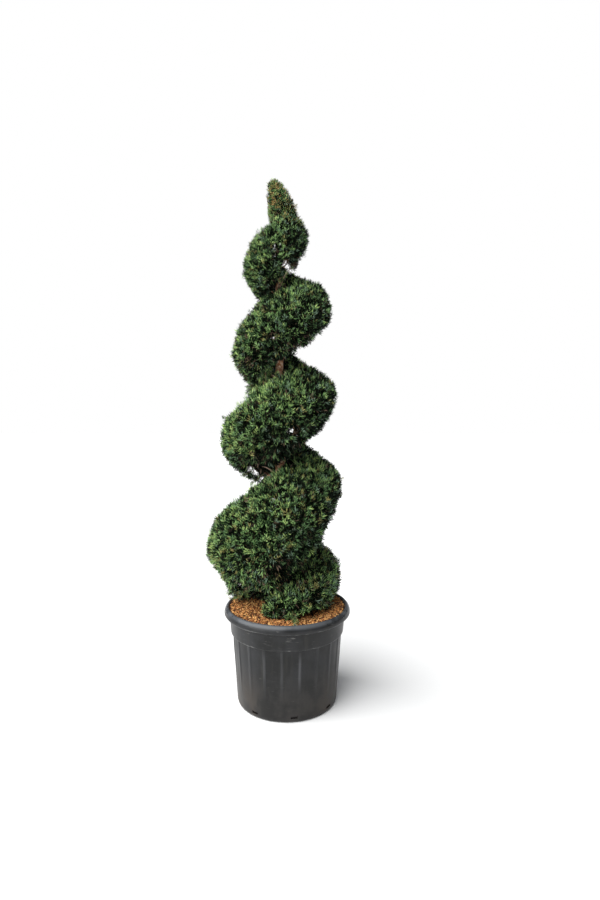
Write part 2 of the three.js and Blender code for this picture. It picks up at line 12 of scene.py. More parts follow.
import bpy
import numpy as np
from mathutils.kdtree import KDTree
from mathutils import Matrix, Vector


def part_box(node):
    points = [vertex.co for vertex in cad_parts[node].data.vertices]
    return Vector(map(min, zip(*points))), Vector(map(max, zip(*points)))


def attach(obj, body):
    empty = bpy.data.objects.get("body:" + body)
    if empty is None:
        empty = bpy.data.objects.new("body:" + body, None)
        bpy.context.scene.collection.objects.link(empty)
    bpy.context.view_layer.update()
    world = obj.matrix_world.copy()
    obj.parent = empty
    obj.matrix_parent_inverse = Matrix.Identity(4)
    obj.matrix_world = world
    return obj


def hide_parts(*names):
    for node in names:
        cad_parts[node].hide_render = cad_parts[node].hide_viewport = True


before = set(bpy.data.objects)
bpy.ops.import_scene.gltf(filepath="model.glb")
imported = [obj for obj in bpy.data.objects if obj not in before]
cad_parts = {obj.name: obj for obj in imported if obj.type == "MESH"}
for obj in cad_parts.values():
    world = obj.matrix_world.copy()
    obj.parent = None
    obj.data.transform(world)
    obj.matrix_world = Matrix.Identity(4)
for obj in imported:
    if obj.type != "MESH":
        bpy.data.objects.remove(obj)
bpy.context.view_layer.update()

TURN = 2 * math.pi
SEED = 5
UP = np.array([0.0, 0.0, 1.0])
CAMERA_AT = np.array([0.063, -2.84, 1.39])

# Pot, measured on its outer skin
POT_HEIGHT = 0.440
RIM_RADIUS = 0.310
LIP_DROP = 0.041
COLLAR_TOP_RADIUS = 0.284
COLLAR_FOOT_RADIUS = 0.276
COLLAR_DROP = 0.120
BODY_TOP_RADIUS = 0.268
BODY_FOOT_RADIUS = 0.240
FOOT_RADIUS = 0.230
FOOT_HEIGHT = 0.014
WALL = 0.005
POT_SIDES = 120
FLUTES = 20
FLUTE_DEPTH = 0.0025
RIB_EDGES = (0.10, 0.45)
FLUTE_FADE = (0.060, 0.200)
FLUTE_ANGLE = math.radians(-4)
DRAINS = 8
DRAIN_FIRST = -0.225
DRAIN_WIDE = 0.030
DRAIN_HIGH = 0.009
DRAIN_HEIGHT = 0.024
DRAIN_DEPTH = 2.2 * WALL
# Corners beside and on a slot's sides, in half widths, and over and under it, in heights
DRAIN_SIDES = (-1.08, -1, 1, 1.08)
DRAIN_ROWS = (-0.56, -0.5, 0.5, 0.56)
DRAIN_SIDE_LIMIT = 1.04
DRAIN_ROW_LIMIT = 0.53
DENT_DEPTH = 0.0011
DENT_FADE = (0.05, 0.30)
# The lip's outline, as steps inwards from the rim's radius and up from the lip's lower edge
LIP_OUTLINE = ((0.009, 0), (0.001, 0.008), (0, 0.016), (0.004, 0.029), (0.012, 0.038), (0.019, LIP_DROP))
CORNER_RADIUS = 0.004
CORNER_REACH = 0.45
CORNER_STEPS = 4
NEARLY_STRAIGHT = -0.99
SHARP_EDGE = math.radians(40)
# A worn place on the collar, and a pale line down one ridge, partly scrape and partly painted highlight
WORN_MARK = (0.017, -0.279, 0.362)
SCRAPE_AND_HIGHLIGHT_MARK = (0.062, -0.248, 0.024)

# Soil
SOIL_TOP = 0.428
SOIL_EDGE = 0.430
SOIL_FLAT = 0.110
SOIL_RADIUS = RIM_RADIUS - 0.027
SOIL_FOOT = 0.33
SOIL_MIDDLE = 0.004
SOIL_CLEAR = 0.001
SOIL_LUMPS = 0.0022

# Trunk
TRUNK_FOOT_X = -0.028
TRUNK_LEAN = -0.036
TRUNK_BEND = 1.3
TRUNK_SWAY = 0.007
TRUNK_TOP = 2.490
TRUNK_FOOT_RADIUS = 0.030
TRUNK_TOP_RADIUS = 0.006
TRUNK_TAPER = 1.6
FLARE_RADIUS = 0.013
FLARE_HEIGHT = 0.028
FLARE_LOBES = 5
FLARE_DEPTH = 0.5
TRUNK_RELIEF = 0.07
TRUNK_RINGS_LOW = 1.15

# Spiral band of foliage
BAND_START = -0.43
BAND_END = 4.55
BAND_HEIGHT = 0.491
BAND_TILT = 0.011
BAND_PITCH = 0.512
BAND_SLOWING = 0.012
BAND_THICKNESS = 0.43
BAND_SQUARENESS = 2.3
BAND_FIRST_END = 0.3
BAND_LAST_END = 0.45
END_THICKNESS = 0.35
END_REACH = 0.4
LEAST_HALF = 0.01
OUTLINE_FOOT = 0.600
OUTLINE_TOP = 2.650
OUTLINE_RADIUS = 0.362
OUTLINE_FULLNESS = 0.47
LOWEST_RISE = -0.5
TUCK_FROM = 0.720
TUCK_OVER = 0.300
TUCK_DEPTH = 0.35
SWELLS = ((0.5, 0.07, 0.25), (2.0, 0.05, 0.2), (3.0, 0.31, 0.2), (3.95, 0.08, 0.3))
BELLY_TURN = 0.50
BELLY_SPREAD = 0.35
BELLY_LOWER = 0.050
BELLY_THICKER = 0.13
MASSES = 14
MASSES_FIRST = -0.35
MASSES_LAST = 4.45
TRUNK_ROOM = 0.020
LEAST_SCALE = 0.6
FULL_SCALE_TO = 1.1
SKIN_DIP = 0.013
DIPS_PAST_ENDS = 0.1
OVER_SOIL = 0.003
OVER_SOIL_SLOPE = 0.17
OVER_SOIL_FROM = 0.110
UNDERCUT_AT = (0.130, -0.190)
UNDERCUT_HIGH = 0.045
UNDERCUT_SPREAD = 0.075

# Places that are clipped deeper than the rest, or left fuller: turn, over, their spreads and the depth
SHEARED = (
    (-0.27, 0.85, 0.08, 0.12, -0.030),
    (-0.14, 0.22, 0.10, 0.16, 0.040),
    (-0.12, 0.35, 0.10, 0.20, 0.025),
    (0.00, 0.60, 0.10, 0.20, 0.008),
    (0.05, 0.80, 0.08, 0.12, -0.016),
    (0.48, 0.23, 0.05, 0.08, -0.046),
    (0.25, 0.50, 0.12, 0.30, 0.008),
    (0.50, 0.36, 0.10, 0.11, 0.025),
    (0.50, 0.58, 0.10, 0.12, -0.010),
    (0.60, 0.10, 0.07, 0.10, 0.030),
    (0.55, 0.03, 0.09, 0.11, 0.045),
    (0.60, 0.92, 0.07, 0.10, -0.014),
    (0.72, 0.12, 0.10, 0.10, -0.040),
    (0.75, 0.93, 0.12, 0.12, -0.038),
    (0.97, 0.35, 0.10, 0.15, 0.068),
    (1.04, 0.82, 0.08, 0.09, 0.003),
    (1.00, 0.62, 0.08, 0.11, -0.016),
    (1.46, 0.66, 0.07, 0.12, -0.022),
    (1.50, 0.58, 0.10, 0.14, -0.006),
    (1.57, 0.12, 0.06, 0.10, 0.014),
    (1.60, 0.92, 0.07, 0.10, -0.035),
    (1.75, 0.06, 0.10, 0.12, -0.034),
    (1.75, 0.93, 0.12, 0.12, -0.034),
    (2.00, 0.33, 0.08, 0.12, 0.026),
    (2.00, 0.60, 0.08, 0.10, -0.016),
    (2.15, 0.92, 0.10, 0.15, 0.014),
    (2.04, 0.80, 0.08, 0.09, 0.022),
    (2.50, 0.30, 0.08, 0.12, 0.010),
    (2.60, 0.08, 0.08, 0.10, -0.055),
    (2.60, 0.93, 0.08, 0.10, -0.045),
    (2.75, 0.94, 0.10, 0.10, -0.012),
    (2.96, 0.26, 0.09, 0.12, 0.030),
    (3.00, 0.42, 0.07, 0.09, 0.016),
    (3.05, 0.70, 0.08, 0.12, -0.022),
    (3.20, 0.94, 0.09, 0.12, 0.030),
    (3.45, 0.27, 0.10, 0.15, 0.030),
    (3.62, 0.10, 0.08, 0.10, -0.055),
    (3.72, 0.12, 0.12, 0.14, -0.040),
    (3.66, 0.88, 0.08, 0.12, 0.026),
    (4.06, 0.66, 0.09, 0.12, 0.018),
    (4.00, 0.50, 0.10, 0.12, -0.010),
    (3.98, 0.06, 0.10, 0.08, -0.045),
    (3.96, 0.24, 0.07, 0.10, 0.004),
    (4.52, 0.50, 0.14, 0.90, 0.075),
)

# Pointed top mass
TIP_FOOT = 2.500
TIP_TOP = 2.622
TIP_RADIUS = 0.070
TIP_NARROWING = 0.40
TIP_SKIRT = 0.090
TIP_LEFT = 0.051
TIP_FULLER = 0.56
TIP_SLIMMER = 0.24
TIP_UNEVEN_FADE = 1.5
TIP_SCALE = 0.85
TIP_OLD_SCALE = 0.4
TIP_BOW = 0.3
TIP_LEADS = 12
TIP_LEADS_OUT = 0.02
TIP_LEADS_SPAN = (TIP_FOOT - 0.02, TIP_TOP - 0.06)
LEADER_TOP = TIP_TOP - 0.035
LEADER_SUNK = 0.06
LEADER_TAPER = 0.7
TOP_SLOPE = 1.8
TOP_ROUND = 0.025
TOP_ROUND_LEFT = 0.042
TIP_BLUNT = 0.6
TIP_BLUNT_AT = 0.85
TIP_BLUNT_SPREAD = 0.2
TIP_LEVEL = 0.97

# Boughs
BOUGH_RADIUS = 0.010
BOUGH_SHARE = 0.4
BOUGH_TAPER = 0.7
BOUGH_CLIMB = 1.0
BOUGH_NEAR_SOIL = 0.100
BOUGH_GROUNDED = 0.055
BOUGH_ENTRY_LEAST = 0.012
BOUGH_ENTRY_SHARE = 0.12
BOUGH_WANDER = 0.0016
BOUGH_KNOTS = 0.07
STEM_SHOWS = 0.017
FUR_OUT = 0.026
FUR_UP = 0.020
CORE_GAP = 0.006
CORE_TURNED_IN = 0.97


def lerp(a, b, share):
    return a + (b - a) * share


def smooth_step(value, start, end):
    share = np.clip((value - start) / (end - start), 0, 1)
    return share * share * (3 - 2 * share)


def unit(vectors):
    return vectors / np.maximum(np.linalg.norm(vectors, axis=-1, keepdims=True), 1e-9)


def bell(away):
    return np.exp(-(away**2))


def off_middle(points):
    """How far points lie from the upright line through the pot's middle."""
    return np.hypot(points[..., 0], points[..., 1])


def polar(radius, angle, z=0.0):
    return np.stack([radius * np.cos(angle), radius * np.sin(angle), z + 0 * angle], -1)


def lattice_noise(u, v, rows, columns, seed):
    """Smooth noise from -1 to 1 over a lattice. U and v run from 0 to 1, and v closes on itself."""
    values = np.random.default_rng(seed).uniform(-1, 1, (rows + 1, columns))
    u = np.clip(u, 0, 1 - 1e-9) * rows
    v = (np.asarray(v) % 1.0) * columns
    row, column = np.floor(u).astype(int), np.floor(v).astype(int) % columns
    in_row, in_column = smooth_step(u - row, 0, 1), smooth_step(v - np.floor(v), 0, 1)
    nearer = lerp(values[row, column], values[row, (column + 1) % columns], in_column)
    further = lerp(values[row + 1, column], values[row + 1, (column + 1) % columns], in_column)
    return lerp(nearer, further, in_row)


# Trunk and band, by the same rules as the solids
def trunk_axis(z):
    z = np.asarray(z, float)
    rise = np.maximum(z - SOIL_TOP, 0) / (TIP_TOP - SOIL_TOP)
    x = TRUNK_FOOT_X + TRUNK_LEAN * rise**TRUNK_BEND
    y = TRUNK_SWAY * np.sin(TURN * rise)
    return np.stack([x, y, z], -1)


def around_trunk(turn, radius, z):
    angle = TURN * np.asarray(turn, float)
    out = np.stack([np.cos(angle), np.sin(angle), np.zeros_like(angle)], -1)
    return trunk_axis(z) + out * np.asarray(radius, float)[..., None]


def trunk_radius(z):
    rise = np.clip((z - SOIL_TOP) / (TRUNK_TOP - SOIL_TOP), 0, 1)
    return lerp(TRUNK_FOOT_RADIUS, TRUNK_TOP_RADIUS, rise**TRUNK_TAPER)


def flare_radius(z):
    return FLARE_RADIUS * np.exp(-np.maximum(z - SOIL_TOP, 0) / FLARE_HEIGHT)


def trunk_reach(z):
    return trunk_radius(z) + flare_radius(z) * (1 + FLARE_DEPTH)


def belly(turn):
    return bell((turn - BELLY_TURN) / BELLY_SPREAD)


def band_middle(turn):
    climb = BAND_PITCH * turn - BAND_SLOWING * turn * turn
    tilted = BAND_TILT * np.cos(TURN * np.asarray(turn))
    return BAND_HEIGHT + climb - tilted - BELLY_LOWER * belly(turn)


def band_rise(turn):
    return BAND_PITCH - 2 * BAND_SLOWING * turn


def band_fullness(turn):
    inwards = np.minimum((turn - BAND_START) / BAND_FIRST_END, (BAND_END - turn) / BAND_LAST_END)
    return np.sqrt(1 - (1 - np.clip(inwards, 0, 1)) ** 2)


def band_half(turn):
    share = BAND_THICKNESS + BELLY_THICKER * belly(turn)
    return share * band_rise(turn) * lerp(END_THICKNESS, 1, band_fullness(turn))


def cone_radius(z):
    rise = np.clip((z - OUTLINE_FOOT) / (OUTLINE_TOP - OUTLINE_FOOT), LOWEST_RISE, 1)
    tucked = 1 - TUCK_DEPTH * np.maximum((TUCK_FROM - z) / TUCK_OVER, 0) ** 2
    return OUTLINE_RADIUS * (1 - rise) ** OUTLINE_FULLNESS * tucked


def outline_radius(turn, z):
    swell = 1 + sum(size * bell((turn - at) / spread) for at, size, spread in SWELLS)
    return cone_radius(z) * swell * lerp(END_REACH, 1, band_fullness(turn))


def spray_scale(turn):
    return np.clip(FULL_SCALE_TO * cone_radius(band_middle(turn)) / OUTLINE_RADIUS, LEAST_SCALE, 1)


def skin_dips(turn, over):
    """How far the clipped skin lies below the even outline, or above it where that is negative."""
    along = (turn - BAND_START + DIPS_PAST_ENDS) / (BAND_END - BAND_START + 2 * DIPS_PAST_ENDS)
    dips = SKIN_DIP * (0.5 + 0.5 * lattice_noise(over, along, 7, 110, SEED + 60))
    for at_turn, at_over, over_turns, over_overs, depth in SHEARED:
        near = ((turn - at_turn) / over_turns) ** 2 + ((over - at_over) / over_overs) ** 2
        dips = dips + depth * np.exp(-near)
    return dips


def skin(turn, over, depth=0.0):
    """A point on the clipped skin, or that deep under it. Over runs from 0 under the band to 1 on top."""
    turn = np.asarray(turn, float)
    angle = np.pi * np.asarray(over, float)
    side = -np.sign(np.cos(angle)) * np.abs(np.cos(angle)) ** (2 / BAND_SQUARENESS)
    bulge = np.abs(np.sin(angle)) ** (2 / BAND_SQUARENESS)
    depth = depth + skin_dips(turn, over)
    z = band_middle(turn) + np.maximum(band_half(turn) - depth, LEAST_HALF) * side
    inner = trunk_reach(z) + TRUNK_ROOM
    outer = np.maximum(outline_radius(turn, z) - depth, inner)
    return around_trunk(turn, inner + (outer - inner) * bulge, z)


def normals_of(place, turn, over, lowest=0.0):
    """Directions straight out of a surface that is given by turn and over."""
    step = 0.004
    along = place(turn + step, over) - place(turn - step, over)
    across = place(turn, np.minimum(over + step, 1)) - place(turn, np.maximum(over - step, lowest))
    return unit(np.cross(along, across))


def skin_normal(turn, over):
    return normals_of(skin, turn, over)


def tip_rise(z):
    return np.clip((z - TIP_FOOT) / (TIP_TOP - TIP_FOOT), 0, 1)


def tip_radius(z):
    rise = tip_rise(z)
    return TIP_RADIUS * np.sqrt(1 - rise**3) * (1 - TIP_NARROWING * rise)


def lowest_foliage(points):
    """How low foliage may hang: close over the soil, clear of the rim, higher over the undercut."""
    past = np.maximum(off_middle(points) - RIM_RADIUS + OVER_SOIL_FROM, 0)
    away = np.hypot(points[..., 0] - UNDERCUT_AT[0], points[..., 1] - UNDERCUT_AT[1])
    undercut = UNDERCUT_HIGH * bell(away / UNDERCUT_SPREAD)
    return SOIL_TOP + OVER_SOIL + OVER_SOIL_SLOPE * past + undercut


# Meshes
def across_and_other(direction, helper):
    """Two directions square to each other and to the given one."""
    across = unit(np.cross(direction, helper))
    return across, np.cross(direction, across)


def grid_faces(rows, columns):
    """Triangles over rows of points, each row closed on itself."""
    row = np.arange(rows - 1)[:, None] * columns
    column = np.arange(columns)[None, :]
    a = (row + column).ravel()
    b = (row + (column + 1) % columns).ravel()
    return np.concatenate([
        np.stack([a, b, b + columns], -1),
        np.stack([a, b + columns, a + columns], -1),
    ])


def fan_faces(ring, centre):
    """Triangles from a ring of corners to one more corner."""
    return np.stack([ring, np.roll(ring, -1), np.full(len(ring), centre)], -1)


def capped_faces(rows, columns):
    """Triangles over rows of closed rings and two caps, whose middles are the last two corners."""
    count = rows * columns
    return np.concatenate([
        grid_faces(rows, columns),
        fan_faces(np.arange(columns)[::-1], count),
        fan_faces(np.arange(count - columns, count), count + 1),
    ])


def make_piece(name, points, faces, materials, replaces=(), shades=None, smooth=False):
    """A mesh of triangles that rides on the plant. Shades gives each face its material."""
    mesh = bpy.data.meshes.new(name)
    mesh.vertices.add(len(points))
    mesh.vertices.foreach_set("co", np.asarray(points, np.float32).ravel())
    mesh.loops.add(faces.size)
    mesh.loops.foreach_set("vertex_index", faces.astype(np.int32).ravel())
    mesh.polygons.add(len(faces))
    mesh.polygons.foreach_set("loop_start", np.arange(0, faces.size, 3, dtype=np.int32))
    for material in materials:
        mesh.materials.append(material)
    if shades is not None:
        mesh.polygons.foreach_set("material_index", np.asarray(shades, np.int32))
    mesh.polygons.foreach_set("use_smooth", np.full(len(faces), smooth))
    mesh.update(calc_edges=True)
    mesh.validate()
    piece = bpy.data.objects.new(name, mesh)
    bpy.context.scene.collection.objects.link(piece)
    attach(piece, "root")
    if replaces:
        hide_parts(*replaces)
    return piece


def joined(parts):
    """Several meshes' points, faces and shades as one."""
    points, faces, shades = [], [], []
    count = 0
    for part_points, part_faces, part_shades in parts:
        points.append(part_points)
        faces.append(part_faces + count)
        shades.append(part_shades)
        count += len(part_points)
    return np.concatenate(points), np.concatenate(faces), np.concatenate(shades)


def tubes(paths, radii, sides, pointed=True):
    """Tapering limbs along paths, with n paths of k points. Each starts open, inside what bears it."""
    radii = np.broadcast_to(radii, paths.shape[:2])
    count, steps = paths.shape[:2]
    chord = unit(paths[:, -1] - paths[:, 0])
    across, other = across_and_other(chord, np.where(np.abs(chord[:, 2:]) < 0.9, UP, [1.0, 0, 0]))
    angle = TURN * np.arange(sides) / sides
    out = np.cos(angle)[:, None] * across[:, None] + np.sin(angle)[:, None] * other[:, None]
    rings = steps - 1 if pointed else steps
    body = paths[:, :rings, None] + out[:, None] * radii[:, :rings, None, None]
    size = rings * sides
    points = np.concatenate([body.reshape(count, size, 3), paths[:, -1:]], 1)
    faces = np.concatenate([grid_faces(rings, sides), fan_faces(np.arange(size - sides, size), size)])
    all_faces = faces[None] + (np.arange(count) * (size + 1))[:, None, None]
    return points.reshape(-1, 3), all_faces.reshape(-1, 3)


# Materials
def plain_material(name, colour, roughness, specular):
    material = bpy.data.materials.new(name)
    material.use_nodes = True
    shader = material.node_tree.nodes["Principled BSDF"]
    shader.inputs["Base Color"].default_value = (*colour, 1)
    shader.inputs["Roughness"].default_value = roughness
    shader.inputs["Specular IOR Level"].default_value = specular
    return material


def shade_materials(shades, roughness, specular):
    return [plain_material(name, colour, roughness, specular) for name, colour in shades.items()]


class Nodes:
    """A short way to build a material's nodes."""

    def __init__(self, name, roughness, specular):
        self.material = plain_material(name, (0.5, 0.5, 0.5), roughness, specular)
        self.tree = self.material.node_tree
        self.shader = self.tree.nodes["Principled BSDF"]
        self.place = self.add("ShaderNodeTexCoord").outputs["Object"]

    def add(self, kind, inputs=None, **settings):
        node = self.tree.nodes.new(kind)
        for key, value in settings.items():
            setattr(node, key, value)
        for key, value in (inputs or {}).items():
            if isinstance(value, bpy.types.NodeSocket):
                self.tree.links.new(value, node.inputs[key])
            else:
                node.inputs[key].default_value = value
        return node

    def stretched(self, scale):
        return self.add("ShaderNodeMapping", {"Vector": self.place, "Scale": scale}).outputs["Vector"]

    def noise(self, place, scale, detail, roughness=0.55):
        inputs = {"Vector": place, "Scale": scale, "Detail": detail, "Roughness": roughness}
        return self.add("ShaderNodeTexNoise", inputs).outputs["Fac"]

    def between(self, value, low, high, to_low=0.0, to_high=1.0):
        inputs = {"Value": value, "From Min": low, "From Max": high, "To Min": to_low, "To Max": to_high}
        return self.add("ShaderNodeMapRange", inputs, interpolation_type="SMOOTHSTEP").outputs["Result"]

    def distance(self, place, mark):
        inputs = {0: place, 1: mark}
        return self.add("ShaderNodeVectorMath", inputs, operation="DISTANCE").outputs["Value"]

    def maths(self, operation, a, b=0.0):
        return self.add("ShaderNodeMath", {0: a, 1: b}, operation=operation).outputs["Value"]

    def times(self, a, b):
        return self.maths("MULTIPLY", a, b)

    def plus(self, a, b):
        return self.maths("ADD", a, b)

    def mix(self, share, a, b):
        a, b = (colour if isinstance(colour, bpy.types.NodeSocket) else (*colour, 1) for colour in (a, b))
        return self.add("ShaderNodeMix", {"Factor": share, 6: a, 7: b}, data_type="RGBA").outputs[2]

    def set(self, name, value):
        self.tree.links.new(value, self.shader.inputs[name])

    def bump(self, height, distance, strength):
        node = self.add("ShaderNodeBump", {"Height": height, "Distance": distance, "Strength": strength})
        self.set("Normal", node.outputs["Normal"])


POT_TONES = {
    "black": (0.006, 0.0062, 0.0062),
    "grey": (0.015, 0.0156, 0.0168),
    "streak": (0.024, 0.023, 0.020),
    "dust": (0.044, 0.034, 0.025),
    "ridge": (0.052, 0.053, 0.056),
    "scuff": (0.110, 0.109, 0.104),
    "lip": (0.082, 0.088, 0.096),
    "edge": (0.150, 0.150, 0.145),
}


def pot_plastic():
    """Black moulded plastic, greyed by handling, with brown dust towards its foot and paler edges and
    crests that are partly wear, partly painted highlight, and a painted highlight along the top of the lip.
    """
    nodes = Nodes("pot_plastic", 0.42, 0.27)
    axes = nodes.add("ShaderNodeSeparateXYZ", {"Vector": nodes.place}).outputs
    height = axes["Z"]
    blotches = nodes.noise(nodes.place, 9, 5)
    streaks = nodes.noise(nodes.stretched((1, 1, 0.12)), 26, 4)
    scuffs = nodes.noise(nodes.stretched((0.35, 0.35, 2.6)), 60, 6, 0.7)
    fine = nodes.noise(nodes.place, 420, 2)
    marked = nodes.between(nodes.distance(nodes.place, WORN_MARK), 0.045, 0.005, 0, 0.10)
    worn = nodes.between(nodes.plus(scuffs, marked), 0.60, 0.72)
    high = nodes.between(height, 0.30, 0.42)
    low = nodes.between(height, 0.25, 0.02)

    greyed = nodes.between(blotches, 0.38, 0.66)
    colour = nodes.mix(greyed, POT_TONES["black"], POT_TONES["grey"])
    colour = nodes.mix(nodes.between(streaks, 0.52, 0.72, 0, 0.5), colour, POT_TONES["streak"])
    dust = nodes.times(low, nodes.between(blotches, 0.42, 0.60, 0.15, 0.65))
    sideways = nodes.maths("ABSOLUTE", axes["X"])
    dust = nodes.times(dust, nodes.between(sideways, 0.08, 0.19, 0.4, 1.0))
    colour = nodes.mix(dust, colour, POT_TONES["dust"])
    # Paler ridge crests: partly wear, partly painted highlight
    colour = nodes.mix(worn_ridges(nodes, axes, streaks), colour, POT_TONES["ridge"])
    colour = nodes.mix(nodes.times(worn, nodes.plus(high, 0.25)), colour, POT_TONES["scuff"])
    # Painted highlight: a paler, bluish band along the top of the lip
    lip_top = nodes.between(height, POT_HEIGHT - 0.020, POT_HEIGHT - 0.006, 0, 0.8)
    lip_top = nodes.times(lip_top, nodes.between(blotches, 0.36, 0.60, 0.35, 1.15))
    colour = nodes.mix(lip_top, colour, POT_TONES["lip"])
    # Pale bands just above the lip's lower edge and the collar's foot: partly wear, partly painted
    # highlight
    lip_edge = edge_band(nodes, height, POT_HEIGHT - LIP_DROP)
    rubbed_and_lit = nodes.plus(lip_edge, edge_band(nodes, height, POT_HEIGHT - COLLAR_DROP))
    rubbed_and_lit = nodes.times(rubbed_and_lit, nodes.between(scuffs, 0.48, 0.64, 0.05, 1.0))
    rubbed_and_lit = nodes.times(rubbed_and_lit, nodes.between(blotches, 0.44, 0.62, 0.10, 1.3))
    nodes.set("Base Color", nodes.mix(rubbed_and_lit, colour, POT_TONES["edge"]))

    gloss = nodes.between(blotches, 0.3, 0.7, 0.34, 0.48)
    polished = nodes.between(height, POT_HEIGHT - 0.030, POT_HEIGHT - 0.010, 0, -0.12)
    gloss = nodes.plus(gloss, polished)
    nodes.set("Roughness", nodes.plus(gloss, nodes.times(worn, 0.15)))
    nodes.bump(nodes.plus(nodes.times(fine, 0.35), nodes.times(worn, 0.4)), 0.0004, 0.6)
    return nodes.material


def worn_ridges(nodes, axes, streaks):
    """Paler crests on the upper part of the ridges, partly wear and partly painted highlight, one of them
    paler than the rest down a line that is partly scrape and partly painted highlight.
    """
    collar_foot = POT_HEIGHT - COLLAR_DROP
    angle = nodes.maths("ARCTAN2", axes["Y"], axes["X"])
    swing = nodes.times(nodes.plus(angle, TURN / 4 - FLUTE_ANGLE), 0.5 * FLUTES)
    across = nodes.maths("ABSOLUTE", nodes.maths("SINE", swing))
    crest = nodes.between(across, 0.34, 0.10)
    above_foot = nodes.between(axes["Z"], 0.08, 0.22)
    raised = nodes.times(above_foot, nodes.between(axes["Z"], collar_foot, collar_foot - 0.01))
    scrape_and_highlight = nodes.distance(nodes.stretched((1, 1, 0.10)), SCRAPE_AND_HIGHLIGHT_MARK)
    crest_wear_and_lit = nodes.between(streaks, 0.40, 0.62, 0.10, 0.45)
    crest_wear_and_lit = nodes.plus(crest_wear_and_lit, nodes.between(scrape_and_highlight, 0.014, 0.006, 0, 0.7))
    return nodes.times(nodes.times(crest, raised), crest_wear_and_lit)


def edge_band(nodes, height, foot):
    """1 on the few millimetres of an edge that stands out above its foot, fading to 0 on both sides."""
    risen = nodes.between(height, foot - 0.001, foot + 0.001)
    return nodes.times(risen, nodes.between(height, foot + 0.008, foot + 0.004))


def bark_material():
    """Reddish brown bark that peels in thin upright flakes."""
    nodes = Nodes("bark", 0.85, 0.25)
    plates = nodes.noise(nodes.stretched((1, 1, 0.16)), 70, 5, 0.6)
    flakes = nodes.noise(nodes.stretched((1, 1, 0.4)), 190, 4, 0.6)
    red = nodes.mix(nodes.between(plates, 0.36, 0.62), (0.360, 0.150, 0.070), (0.880, 0.490, 0.270))
    pale = nodes.mix(nodes.between(flakes, 0.48, 0.60, 0, 0.8), red, (0.90, 0.70, 0.52))
    nodes.set("Base Color", pale)
    nodes.bump(nodes.plus(plates, nodes.times(flakes, 0.5)), 0.0025, 0.8)
    return nodes.material


def soil_material():
    """Dark compost between the chips of bark."""
    nodes = Nodes("compost", 0.95, 0.2)
    crumbs = nodes.noise(nodes.place, 130, 6, 0.7)
    colour = nodes.mix(nodes.between(crumbs, 0.35, 0.65), (0.036, 0.017, 0.009), (0.180, 0.085, 0.036))
    nodes.set("Base Color", colour)
    nodes.bump(crumbs, 0.004, 1.0)
    return nodes.material


# Pot
def body_radius(height):
    share = (height - FOOT_HEIGHT) / (POT_HEIGHT - COLLAR_DROP - FOOT_HEIGHT)
    return lerp(BODY_FOOT_RADIUS, BODY_TOP_RADIUS, share)


def rounded(corners, radius):
    """An outline's corners, each cut to a small arc of about that radius."""
    corners = np.array(corners, float)
    points = [corners[0]]
    for before, corner, after in zip(corners, corners[1:], corners[2:]):
        to_before, to_after = before - corner, after - corner
        if unit(to_before) @ unit(to_after) < NEARLY_STRAIGHT:
            points.append(corner)
            continue
        reach = min(radius, *(CORNER_REACH * np.linalg.norm(side) for side in (to_before, to_after)))
        start = corner + unit(to_before) * reach
        end = corner + unit(to_after) * reach
        for share in np.linspace(0, 1, CORNER_STEPS):
            points.append((1 - share) ** 2 * start + 2 * share * (1 - share) * corner + share**2 * end)
    return np.array([*points, corners[-1]])


def pot_profile():
    """The pot's outer skin and then its inner one, as radius and height, from its foot to its floor."""
    lip_foot = POT_HEIGHT - LIP_DROP
    collar_foot = POT_HEIGHT - COLLAR_DROP
    body = [(body_radius(z), z) for z in np.linspace(FOOT_HEIGHT, collar_foot - 0.002, 20)]
    outside = [
        (0.0, 0.0),
        (FOOT_RADIUS - 0.02, 0.0),
        (FOOT_RADIUS, 0.0),
        (BODY_FOOT_RADIUS - 0.003, FOOT_HEIGHT * 0.4),
        *body,
        (COLLAR_FOOT_RADIUS, collar_foot + 0.001),
        (COLLAR_TOP_RADIUS, lip_foot - 0.001),
        *[(RIM_RADIUS - inwards, lip_foot + up) for inwards, up in LIP_OUTLINE],
    ]
    inside = [
        (RIM_RADIUS - 0.024, POT_HEIGHT - 0.006),
        (COLLAR_TOP_RADIUS - WALL, lip_foot),
        (COLLAR_FOOT_RADIUS - WALL, collar_foot + 0.006),
        (BODY_TOP_RADIUS - WALL, collar_foot - 0.004),
        (BODY_FOOT_RADIUS - WALL, FOOT_HEIGHT + 0.004),
        (BODY_FOOT_RADIUS - WALL - 0.004, WALL + 0.002),
        (0.0, WALL + 0.002),
    ]
    return rounded(outside + inside, CORNER_RADIUS)


def pot_turns(drains, slot_half):
    """The angles of the pot's corners: even ones, the slots' sides and the ridges' flanks, in turns."""
    even = np.arange(POT_SIDES) / POT_SIDES
    slot_sides = [drains + side * slot_half for side in DRAIN_SIDES]
    ribs = np.arange(FLUTES) / FLUTES - 0.25 + FLUTE_ANGLE / TURN
    flanks = 2 * np.arcsin(np.linspace(*RIB_EDGES, 4)) / FLUTES / TURN
    rib_sides = [ribs + side * flank for side in (-1, 1) for flank in flanks]
    turns = np.concatenate([even, np.concatenate(slot_sides) % 1.0, np.concatenate(rib_sides) % 1.0])
    return np.unique(turns.round(5))


